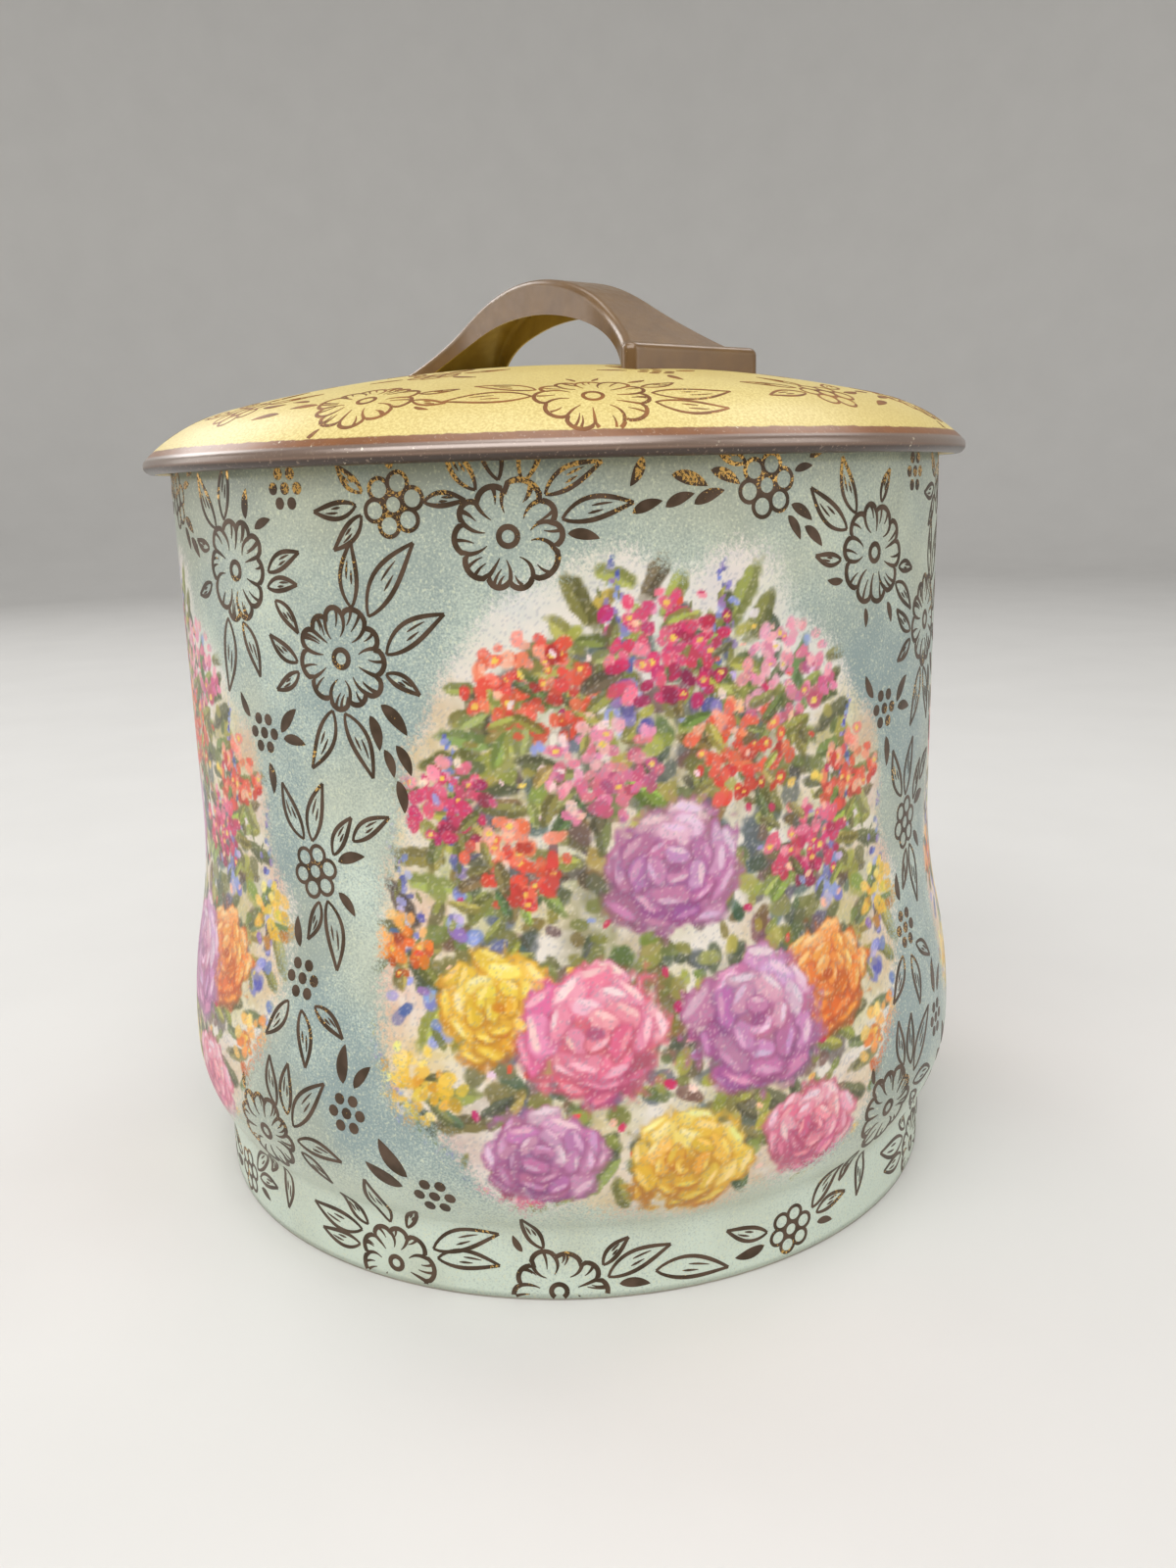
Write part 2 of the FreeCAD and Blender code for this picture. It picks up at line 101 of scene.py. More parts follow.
# Steps round a turned film and round the floor, and the distance within which their points are joined
FILM_STEPS = 320
FLOOR_STEPS = 96
WELD = 0.001 * MM

# The design: its repeats round the tin, and the width of its lines in millimetres, which is less on the lid
REPEATS = 4
LINE = 0.72
LID_LINE_SHARE = 0.7

# The picture: its middle in degrees from the front and in millimetres, half sizes, grid step and taper
PICTURE_CENTRE = 12.0
PICTURE_MIDDLE = 66.0
PICTURE_HALF = (51.0, 57.0)
PICTURE_PITCH = 0.33
TAPER_FROM = 58.0
TAPER_RISE = 56.0
TAPER_MOST = 0.26

# Where the wall's colour changes, in millimetres of height: denser stipple, painted shade under the lid's
# rim, rubbed ink
STIPPLE_RISE = (FOOT_HEIGHT, FOOT_HEIGHT + 20.0)
RIM_SHADE_RISE = (92.0, 128.0)
WALL_RUBBED = (123.0, 128.0)

# Where the lid's colour changes, in millimetres from the axis or of height; LID_RUBBED lies above its print
LID_INK_REACH = 72.6
BORDER_EDGE = (72.75, 73.0)
RIM_EDGE = (73.6, 73.95)
# Heights over which the painted shade under the roll gives way to the rim's own colours
RIM_UPPER = (CURL_Z - 0.6, CURL_Z + 0.1)
LID_RUBBED = (160.0, 165.0)

# A point below the handle and a weight for each axis, which tell its outside from the inside of its channel
HANDLE_POINT = Vector((0.0, 0.0, 140.0)) * MM
HANDLE_WEIGHTS = (0.25, 1.0, 1.0)
CHANNEL_EDGE = 0.4 * MM

# The studio: the floor's inner ring, flat part, sweep and top in millimetres, and the lamps' aim in metres
FLOOR_INNER = 600.0
FLOOR_REACH = 1500.0
FLOOR_BEND = 500.0
FLOOR_TOP = 1600.0
FLOOR_DROP = 0.02
LAMP_AIM = Vector((0.0, 0.0, 0.07))
ROOM_STRENGTH = 0.32

rng = np.random.default_rng(7)


def to_linear(screen):
    """Linear light of an array of screen values of 0 to 1."""
    curved = ((np.clip(screen, 0, 1) + 0.055) / 1.055) ** 2.4
    return np.where(screen > 0.04045, curved, screen / 12.92)


def srgb(red, green, blue):
    """A screen colour of 0 to 255 as linear light, with full alpha."""
    return (*to_linear(np.array((red, green, blue)) / 255).tolist(), 1.0)


# Colours of the print, the lacquer, the metal and the studio, and of painted shade; a pair is blended by
# noise
MINT = srgb(208, 220, 204)
MINT_STIPPLE = srgb(139, 157, 156)
MINT_WARM = srgb(178, 179, 154)
# Painted shade: the warm grey that darkens the top of the wall in place of the lid rim's shadow
MINT_RIM_SHADE = srgb(170, 168, 140)
MINT_FLECK = srgb(216, 220, 192)
WALL_INK = (srgb(92, 71, 54), srgb(64, 46, 26))
LID_INK = (srgb(148, 92, 32), srgb(118, 70, 20))
GOLD_FLECK = srgb(238, 190, 108)
LEMON = (srgb(200, 176, 98), srgb(225, 207, 134))
LEMON_CLOUD = srgb(188, 162, 82)
RUST = (srgb(108, 62, 24), srgb(142, 88, 38))
# Painted shade: the dark brown put on the underside of the lid's rolled rim
RIM_UNDERSIDE_SHADE = srgb(58, 40, 28)
RIM_BROWN = srgb(118, 90, 70)
RIM_WORN = srgb(164, 138, 116)
RIM_CHIP = srgb(206, 192, 168)
LACQUER = (srgb(88, 59, 20), srgb(128, 93, 40))
LACQUER_RUBBED = srgb(182, 150, 108)
CHANNEL = (srgb(150, 122, 52), srgb(196, 170, 86))
TIN = (srgb(150, 147, 138), srgb(206, 200, 184))
TIN_STAIN = srgb(146, 118, 82)
FLOOR_TONES = (srgb(214, 212, 208), srgb(222, 220, 216))
ROOM_LIGHT = srgb(240, 241, 244)


class Shader:
    """A material built node by node."""

    def __init__(self, name):
        self.material = bpy.data.materials.new(name)
        self.material.use_nodes = True
        self.tree = self.material.node_tree
        self.bsdf = self.tree.nodes["Principled BSDF"]
        self.place = self.add("ShaderNodeTexCoord").outputs["Object"]

    def add(self, kind, inputs=(), **settings):
        """Add a node, set its options, and link or set its inputs."""
        node = self.tree.nodes.new(kind)
        for key, value in settings.items():
            setattr(node, key, value)
        for key, value in dict(inputs).items():
            self.put(node.inputs[key], value)
        return node

    def put(self, socket, value):
        """Link a socket to another, or set its value."""
        if isinstance(value, bpy.types.NodeSocket):
            self.tree.links.new(value, socket)
        else:
            socket.default_value = value

    def finish(self, **inputs):
        """Set the shader's own inputs and return the material."""
        for key, value in inputs.items():
            self.put(self.bsdf.inputs[key.replace("_", " ")], value)
        return self.material

    def math(self, operation, first, second=0.0, third=0.0):
        """One arithmetic step."""
        return self.add("ShaderNodeMath", {0: first, 1: second, 2: third}, operation=operation).outputs[0]

    def vector(self, operation, first, second=(0.0, 0.0, 0.0)):
        """One step of vector arithmetic, as a node."""
        return self.add("ShaderNodeVectorMath", {0: first, 1: second}, operation=operation)

    def span(self, value, low, high, to_low=0.0, to_high=1.0):
        """A smooth step of a value from one range to another."""
        inputs = {"Value": value, "From Min": low, "From Max": high, "To Min": to_low, "To Max": to_high}
        return self.add("ShaderNodeMapRange", inputs, interpolation_type="SMOOTHSTEP").outputs[0]

    def noise(self, grain, detail=2.0, roughness=0.5):
        """Noise whose grains are about as many millimetres wide as told."""
        inputs = {"Vector": self.place, "Scale": 1 / (grain * MM), "Detail": detail, "Roughness": roughness}
        return self.add("ShaderNodeTexNoise", inputs).outputs["Fac"]

    def mix(self, share, first, second):
        """Blend two colours."""
        node = self.add("ShaderNodeMix", data_type="RGBA")
        for index, value in ((0, share), (6, first), (7, second)):
            self.put(node.inputs[index], value)
        return node.outputs[2]

    def height(self):
        """Height above the table, in millimetres."""
        parts = self.add("ShaderNodeSeparateXYZ", {0: self.place})
        return self.math("MULTIPLY", parts.outputs["Z"], 1 / MM)

    def radius(self):
        """Distance from the upright axis, in millimetres."""
        flat = self.vector("MULTIPLY", self.place, (1 / MM, 1 / MM, 0))
        return self.vector("LENGTH", flat.outputs[0]).outputs["Value"]

    def faces_away(self, point, weights):
        """Above 0 where the surface faces away from a point, else below, with a weight for each axis."""
        normal = self.add("ShaderNodeNewGeometry").outputs["Normal"]
        offset = self.vector("SUBTRACT", self.place, point)
        offset = self.vector("MULTIPLY", offset.outputs[0], weights)
        return self.vector("DOT_PRODUCT", normal, offset.outputs[0]).outputs["Value"]

    def bump(self, height, depth):
        """Bump of a depth in millimetres, from a height of 0 to 1."""
        inputs = {"Height": height, "Distance": depth * MM, "Strength": 1.0}
        return self.add("ShaderNodeBump", inputs).outputs["Normal"]


def mint_ground(shader):
    """The wall's ground colour: pale mint under a fine grey-green stipple that comes in soft clouds, with
    painted shade of the lid's rim darkening it towards the mouth.
    """
    stipple = shader.noise(0.34, 1.0, 0.5)
    cloud = shader.math("MULTIPLY_ADD", shader.noise(38.0, 2.0), 1.5, -0.37)
    shade = shader.math("MULTIPLY_ADD", shader.noise(7.0, 3.0), 0.5, cloud)
    shade = shader.math("MULTIPLY", shade, shader.span(shader.height(), *STIPPLE_RISE, 0.25, 1.0))
    grain = shader.span(shader.math("SUBTRACT", shade, stipple), -0.42, 0.34)
    ground = shader.mix(grain, MINT, MINT_STIPPLE)
    warm = shader.span(shader.noise(30.0, 2.0), 0.48, 0.66, 0.0, 0.4)
    ground = shader.mix(warm, ground, MINT_WARM)
    # Painted shade of the lid's rim: the ground turns darker and warmer towards the mouth
    rim_shade = shader.span(shader.height(), *RIM_SHADE_RISE, 0.0, 0.3)
    ground = shader.mix(rim_shade, ground, MINT_RIM_SHADE)
    fleck = shader.span(shader.noise(0.48, 1.0), 0.56, 0.74, 0.0, 0.6)
    return shader.mix(fleck, ground, MINT_FLECK)


def finish_wall(shader, colour):
    """Satin print of a colour, under a thin clear coat."""
    return shader.finish(
        Base_Color=colour,
        Roughness=shader.span(shader.noise(2.5), 0.3, 0.7, 0.34, 0.46),
        Normal=shader.bump(shader.noise(0.5), 0.004),
        Coat_Weight=0.2,
        Coat_Roughness=0.25,
    )


def make_wall_material():
    """The bare ground of the wall."""
    shader = Shader("mint_print")
    return finish_wall(shader, mint_ground(shader))


def make_picture_material():
    """The painted picture, which breaks up into the wall's ground at its edge."""
    shader = Shader("picture_print")
    paint = shader.add("ShaderNodeVertexColor", layer_name="paint")
    ragged = shader.math("MULTIPLY_ADD", shader.noise(0.55, 2.0, 0.65), 0.9, -0.45)
    share = shader.span(shader.math("ADD", paint.outputs["Alpha"], ragged), 0.3, 0.7)
    return finish_wall(shader, shader.mix(share, mint_ground(shader), paint.outputs["Color"]))


def make_ink_material(name, tones, rubbed_rise):
    """Bronze ink that is rubbed to bright gold flecks here and there, and more so above some height."""
    shader = Shader(name)
    patch = shader.span(shader.noise(8.0, 2.0), 0.54, 0.66, 0.0, 0.6)
    high = shader.span(shader.height(), *rubbed_rise, 0.0, 0.8)
    high = shader.math("MULTIPLY", high, shader.span(shader.noise(5.0), 0.36, 0.52))
    wear = shader.math("MAXIMUM", patch, high)
    fleck = shader.span(shader.math("MULTIPLY_ADD", wear, 0.4, shader.noise(0.4, 2.0, 0.7)), 0.76, 0.84)
    tone = shader.mix(shader.span(shader.noise(4.0), 0.35, 0.65), *tones)
    return shader.finish(
        Base_Color=shader.mix(fleck, tone, GOLD_FLECK),
        Metallic=shader.math("MULTIPLY_ADD", fleck, 0.7, 0.25),
        Roughness=shader.span(fleck, 0.0, 1.0, 0.42, 0.28),
    )


def make_lid_material():
    """Lemon ground with a rust border, a satin brown that covers the rolled rim outside the border, and dark
    brown painted as shade under the roll.
    """
    shader = Shader("lid_print")
    ground = shader.mix(shader.span(shader.noise(0.4, 2.0, 0.6), 0.3, 0.7), *LEMON)
    ground = shader.mix(shader.span(shader.noise(26.0), 0.4, 0.7, 0.0, 0.35), ground, LEMON_CLOUD)
    ragged = shader.math("MULTIPLY_ADD", shader.noise(1.5), 0.5, shader.radius())
    border = shader.span(ragged, *BORDER_EDGE)
    upper = shader.span(shader.height(), *RIM_UPPER)
    rolled = shader.math("MULTIPLY", upper, shader.span(shader.radius(), *RIM_EDGE))
    rust = shader.mix(shader.noise(2.4, 3.0, 0.6), *RUST)
    # Painted shade: below the upper mask the roll takes a dark brown
    rim = shader.mix(upper, RIM_UNDERSIDE_SHADE, rust)
    rim = shader.mix(rolled, rim, RIM_BROWN)
    worn = shader.span(shader.noise(0.5, 2.0, 0.6), 0.6, 0.7, 0.0, 0.5)
    rim = shader.mix(worn, rim, RIM_WORN)
    chips = shader.span(shader.noise(1.2, 3.0, 0.6), 0.66, 0.69)
    chips = shader.math("MULTIPLY", chips, shader.span(shader.noise(16.0), 0.55, 0.62))
    chips = shader.math("MULTIPLY", chips, border)
    rim = shader.mix(chips, rim, RIM_CHIP)
    return shader.finish(
        Base_Color=shader.mix(border, ground, rim),
        Roughness=shader.span(border, 0.0, 1.0, 0.42, 0.3),
        Metallic=shader.math("MULTIPLY", rolled, 0.38),
        Normal=shader.bump(shader.noise(0.6), 0.006),
        Coat_Weight=shader.math("MULTIPLY_ADD", rolled, 0.74, 0.08),
        Coat_Roughness=0.3,
        Coat_IOR=2.3,
    )


def make_handle_material():
    """Bronze-brown lacquer outside, rubbed in places, and yellow lacquer inside the channel."""
    shader = Shader("bronzed_lacquer")
    outside = shader.span(shader.faces_away(HANDLE_POINT, HANDLE_WEIGHTS), -CHANNEL_EDGE, CHANNEL_EDGE)
    brown = shader.mix(shader.noise(5.0, 4.0, 0.6), *LACQUER)
    rubbed = shader.span(shader.noise(0.9, 3.0, 0.65), 0.66, 0.74, 0.0, 0.7)
    rubbed = shader.math("MULTIPLY", rubbed, shader.span(shader.noise(12.0), 0.48, 0.6))
    brown = shader.mix(rubbed, brown, LACQUER_RUBBED)
    yellow = shader.mix(shader.noise(3.0, 3.0), *CHANNEL)
    return shader.finish(
        Base_Color=shader.mix(outside, yellow, brown),
        Metallic=0.15,
        Roughness=shader.span(shader.noise(1.6, 3.0), 0.3, 0.7, 0.32, 0.44),
        Normal=shader.bump(shader.noise(0.7, 3.0), 0.006),
        Coat_Weight=0.45,
        Coat_Roughness=0.24,
        Coat_IOR=1.9,
    )


def make_tinplate_material():
    """Bare tinplate with a dull crystalline bloom and fine scuffs."""
    shader = Shader("bare_tinplate")
    bloom = shader.mix(shader.noise(6.0, 4.0, 0.6), *TIN)
    stain = shader.span(shader.noise(18.0, 3.0), 0.62, 0.75, 0.0, 0.5)
    scuff = shader.noise(0.8, 3.0, 0.7)
    return shader.finish(
        Base_Color=shader.mix(stain, bloom, TIN_STAIN),
        Metallic=0.9,
        Roughness=shader.span(scuff, 0.3, 0.7, 0.3, 0.5),
        Normal=shader.bump(scuff, 0.006),
    )


def make_floor_material():
    """A plain pale floor."""
    shader = Shader("pale_floor")
    return shader.finish(Base_Color=shader.mix(shader.noise(60.0, 3.0), *FLOOR_TONES), Roughness=0.7)


def rise(bend, step):
    """Height of a circle of one radius over a point some way from its centre."""
    return np.sqrt(np.maximum(bend**2 - step**2, 0))


def wall_radius(z):
    """Outer radius of the print on the wall at a height: it fills the crease over the foot a little."""
    z = np.asarray(z, float)
    bulge = BODY_RADIUS + BULGE_SWELL
    half_way = (WAIST_HEIGHT + BULGE_HEIGHT) / 2
    zones = [
        (z >= WAIST_HEIGHT, BODY_RADIUS + 0 * z),
        (z >= half_way, BODY_RADIUS + SWELL_BEND - rise(SWELL_BEND, WAIST_HEIGHT - z)),
        (z >= BULGE_HEIGHT, bulge - SWELL_BEND + rise(SWELL_BEND, z - BULGE_HEIGHT)),
        (z >= TUCK_HEIGHT, bulge - BULGE_TUCK + rise(BULGE_TUCK, BULGE_HEIGHT - z)),
        (z >= FOOT_HEIGHT, FOOT_RADIUS + CREASE_ROUND - rise(CREASE_ROUND, z - FOOT_HEIGHT)),
    ]
    radius = np.select([zone[0] for zone in zones], [zone[1] for zone in zones], FOOT_RADIUS)
    from_crease = (z - (FOOT_HEIGHT + TUCK_HEIGHT) / 2) / CREASE_SPREAD
    return radius + CREASE_FILL * np.exp(-(from_crease**2))


def dome_height(r):
    """Height of the lid's outer face at a distance from the axis."""
    r = np.asarray(r, float)
    crown = CROWN_Z + rise(CROWN_BEND, r)
    shoulder = SHOULDER_Z + rise(SHOULDER_BEND, r - SHOULDER_X)
    return np.where(r < CROWN_REACH, crown, shoulder)


def on_wall(turn, z, lift):
    """Points on the wall, in metres, at angles from +X and heights in millimetres."""
    r = wall_radius(z) + lift
    return np.stack([r * np.cos(turn), r * np.sin(turn), z + 0 * r], axis=-1) * MM


def on_lid(turn, r, lift):
    """Points on the lid, in metres, at angles from +X and distances from the axis."""
    return np.stack([r * np.cos(turn), r * np.sin(turn), dome_height(r) + lift], axis=-1) * MM


def all_round(angle, count):
    """Turns from +X of a design that repeats so many times round, the first some degrees from the front."""
    return [FRONT + math.radians(angle + 360 / count * repeat) for repeat in range(count)]


def new_piece(name, points, faces, material, body=None, smooth=True):
    """Make one mesh object, and let it ride on a body."""
    mesh = bpy.data.meshes.new(name)
    mesh.from_pydata([tuple(p) for p in points], [], faces)
    mesh.validate()
    mesh.materials.append(material)
    if smooth:
        mesh.shade_smooth()
    piece = bpy.data.objects.new(name, mesh)
    bpy.context.scene.collection.objects.link(piece)
    if body:
        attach(piece, body)
    return piece


def lathe(name, outline, segments, material, body=None, closed=True):
    """Turn an outline of radius and height, in millimetres, about the upright axis."""
    outline = np.asarray(outline)
    turns = np.linspace(0, 2 * math.pi, segments, endpoint=False)
    ring = np.stack([np.cos(turns), np.sin(turns)], axis=1)
    flat = outline[:, None, :1] * ring[None]
    tall = np.broadcast_to(outline[:, None, 1:], (len(outline), segments, 1))
    points = np.concatenate([flat, tall], axis=2).reshape(-1, 3) * MM
    rows = len(outline) if closed else len(outline) - 1
    faces = []
    for row in range(rows):
        low = row * segments
        high = (row + 1) % len(outline) * segments
        for k in range(segments):
            after = (k + 1) % segments
            faces.append((low + k, low + after, high + after, high + k))
    piece = new_piece(name, points, faces, material, body)
    shape = bmesh.new()
    shape.from_mesh(piece.data)
    bmesh.ops.remove_doubles(shape, verts=shape.verts, dist=WELD)
    shape.to_mesh(piece.data)
    shape.free()
    return piece


def make_wall_ground():
    """The printed film over the outside of the wall, from foot to mouth."""
    stops = (GROUND_MARGIN, FOOT_HEIGHT, TUCK_HEIGHT, WAIST_HEIGHT, BODY_HEIGHT - GROUND_MARGIN)
    counts = (12, 8, 88, 24)
    runs = [np.linspace(low, high, count)[1:] for low, high, count in zip(stops, stops[1:], counts)]
    heights = np.concatenate([stops[:1], *runs])
    inner, outer = (np.stack([wall_radius(heights) + lift, heights], axis=1) for lift in GROUND_FILM)
    film = np.concatenate([outer, inner[::-1]])
    return lathe("wall_print", film, FILM_STEPS, make_wall_material(), "box")


def lid_outline(lift):
    """The lid's outer face from its middle to the underside of the rolled rim."""
    arcs = (
        (0.0, CROWN_Z, CROWN_BEND, np.linspace(0, CROWN_TURN, 30)),
        (SHOULDER_X, SHOULDER_Z, SHOULDER_BEND, np.linspace(CROWN_TURN, SHOULDER_TURN, 24)[1:]),
        (CURL_X, CURL_Z, RIM_CURL, np.linspace(SHOULDER_TURN, CURL_TURN, 26)[1:]),
    )
    runs = []
    for x, z, bend, turns in arcs:
        runs.append(np.stack([x + (bend + lift) * np.sin(turns), z + (bend + lift) * np.cos(turns)], 1))
    return np.concatenate(runs)


def make_lid_ground():
    """The printed film over the outside of the lid."""
    inner, outer = (lid_outline(lift) for lift in GROUND_FILM)
    film = np.concatenate([inner, outer[::-1]])
    return lathe("lid_ground", film, FILM_STEPS, make_lid_material(), "lid")


# Line ornament: a stroke is a list of points in millimetres and the line's width at each


def stroke(points, *widths):
    """A line through points, with its width eased between the given ones."""
    points = np.asarray(points, float)
    share = np.linspace(0, 1, len(points))
    return points, np.interp(share, np.linspace(0, 1, len(widths)), widths)


def curve(start, end, sag, count=9):
    """Points of a shallow bow between two points, bulging to the left by sag."""
    start, end = np.asarray(start, float), np.asarray(end, float)
    share = np.linspace(0, 1, count)[:, None]
    across = np.array([-(end - start)[1], (end - start)[0]]) / max(np.hypot(*(end - start)), 1e-6)
    return start + (end - start) * share + across * sag * 4 * share * (1 - share)


def polar(r, angle):
    """A point at a distance and an angle in degrees."""
    return np.array([r * math.cos(math.radians(angle)), r * math.sin(math.radians(angle))])


def circle(centre, radius, width):
    """One ring."""
    turns = np.linspace(0, 2 * math.pi, 33)
    return stroke(np.asarray(centre) + radius * np.stack([np.cos(turns), np.sin(turns)], 1), width, width)


def dot(centre, radius):
    """One filled disc."""
    share = np.linspace(-1, 1, 11)
    points = np.asarray(centre) + np.stack([share * radius, 0 * share], 1)
    return points, 2 * radius * np.sqrt(np.maximum(1 - share**2, 0.004))


def solid_leaf(base, angle, length):
    """A filled pointed leaf."""
    points = curve(base, base + polar(length, angle), 0.06 * length, 13)
    share = np.linspace(0, 1, 13)
    return points, 0.34 * length * np.sin(math.pi * share**0.85) ** 0.8 + 0.06


def open_leaf(base, angle, length):
    """An outlined leaf, widest near its base, with two short strokes for its vein."""
    share = np.linspace(0, 1, 15)
    spine = curve(base, base + polar(length, angle), 0.05 * length, 15)
    half = 0.15 * length * np.sin(math.pi * share**0.8)[:, None] * polar(1, angle + 90)
    strokes = [
        stroke(spine + half, 0.6 * LINE, 0.9 * LINE, LINE, 0.7 * LINE),
        stroke(spine - half, 0.6 * LINE, LINE, LINE, 0.7 * LINE),
    ]
    for first, last, side in ((6, 11, 0.25), (5, 9, -0.35)):
        vein = (spine + side * half)[first:last]
        strokes.append(stroke(vein, 0.1, 0.4, 0.32, 0.1))
    return strokes


def blossom(radius, petals, draw):
    """A scalloped blossom seen from the front, with creases in its petals and a ring for its eye."""
    steps = draw.uniform(0.75, 1.25, petals)
    edges = np.concatenate([[0], np.cumsum(steps)]) / steps.sum() * 360 + draw.uniform(0, 360)
    outline = []
    strokes = []
    for first, last in zip(edges[:-1], edges[1:]):
        reach = radius * draw.uniform(0.93, 1.05)
        share = np.linspace(0, 1, 11)[:-1]
        swell = reach * (0.83 + 0.17 * np.sin(math.pi * share) ** 0.6)
        outline += [polar(r, first + (last - first) * s) for r, s in zip(swell, share)]
        lean = draw.uniform(-7, 7)
        sag = draw.uniform(-0.6, 0.6)
        cusp = curve(polar(0.84 * radius, first), polar(0.42 * radius, first + lean), sag)
        strokes.append(stroke(cusp, LINE, 0.7 * LINE, 0.12))
        for part in draw.uniform(0.3, 0.7, draw.integers(1, 3)):
            angle = first + (last - first) * part
            inner = draw.uniform(0.56, 0.72) * radius
            crease = curve(polar(0.95 * reach, angle), polar(inner, angle + lean), 0.15)
            strokes.append(stroke(crease, 0.75 * LINE, 0.5 * LINE, 0.1))
    outline = np.array(outline + outline[:1])
    eye = circle((0, 0), 0.17 * radius, 1.15 * LINE)
    return [stroke(outline, 1.15 * LINE, 1.15 * LINE), eye, *strokes]


def six_rings(radius):
    """A small flower of six rings about one."""
    rings = [circle(polar(0.66 * radius, 60 * k + 15), 0.33 * radius, 0.85 * LINE) for k in range(6)]
    return [*rings, circle((0, 0), 0.3 * radius, 0.85 * LINE)]


def berries(radius):
    """A cluster of seven dots."""
    around = [dot(polar(0.68 * radius, 60 * k), 0.25 * radius) for k in range(6)]
    return [dot((0, 0), 0.25 * radius), *around]


def spray(motif, open_leaves=(), solid_leaves=()):
    """A motif with leaves: each has the angle and distance of its base, its own direction and its length."""
    strokes = list(motif)
    for at, reach, direction, length in open_leaves:
        strokes += open_leaf(polar(reach, at), direction, length)
    for at, reach, direction, length in solid_leaves:
        strokes.append(solid_leaf(polar(reach, at), direction, length))
    return strokes


def sideways(line):
    """Steps of one millimetre to the left of a line, at each of its points."""
    way = np.gradient(line, axis=0)
    way /= np.maximum(np.hypot(way[:, :1], way[:, 1:]), 1e-9)
    return np.stack([-way[:, 1], way[:, 0]], 1)


def strip_faces(first, count):
    """Faces of a closed strip whose four edges follow one another, with so many points each."""
    corner = [first + k * count for k in range(4)]
    faces = []
    for i in range(count - 1):
        for k in range(4):
            low, high = corner[k] + i, corner[(k + 1) % 4] + i
            faces.append((low, low + 1, high + 1, high))
    return [*faces, tuple(corner[::-1]), tuple(c + count - 1 for c in corner)]


def draw_ink(name, placed, surface, limits, weight, material, body):
    """Lay strokes on a surface as thin closed strips of ink, cut off at two limits.

    Each entry of placed holds the middle's turn, its height or distance, the radius there, and strokes.
    """
    points, faces = [], []
    for turn, along, reach, strokes in placed:
        for line, widths in strokes:
            across = sideways(line) * widths[:, None] * weight / 2
            inside = (line[:, 1] + along > limits[0]) & (line[:, 1] + along < limits[1])
            for run in np.split(np.arange(len(line)), np.flatnonzero(np.diff(inside)) + 1):
                if not inside[run[0]] or len(run) < 2:
                    continue
                faces += strip_faces(len(points), len(run))
                for side, lift in ((1, 1), (-1, 1), (-1, 0), (1, 0)):
                    edge = line[run] + side * across[run]
                    points.extend(surface(turn + edge[:, 0] / reach, edge[:, 1] + along, INK_FILM[lift]))
    return new_piece(name, points, faces, material, body, smooth=False)


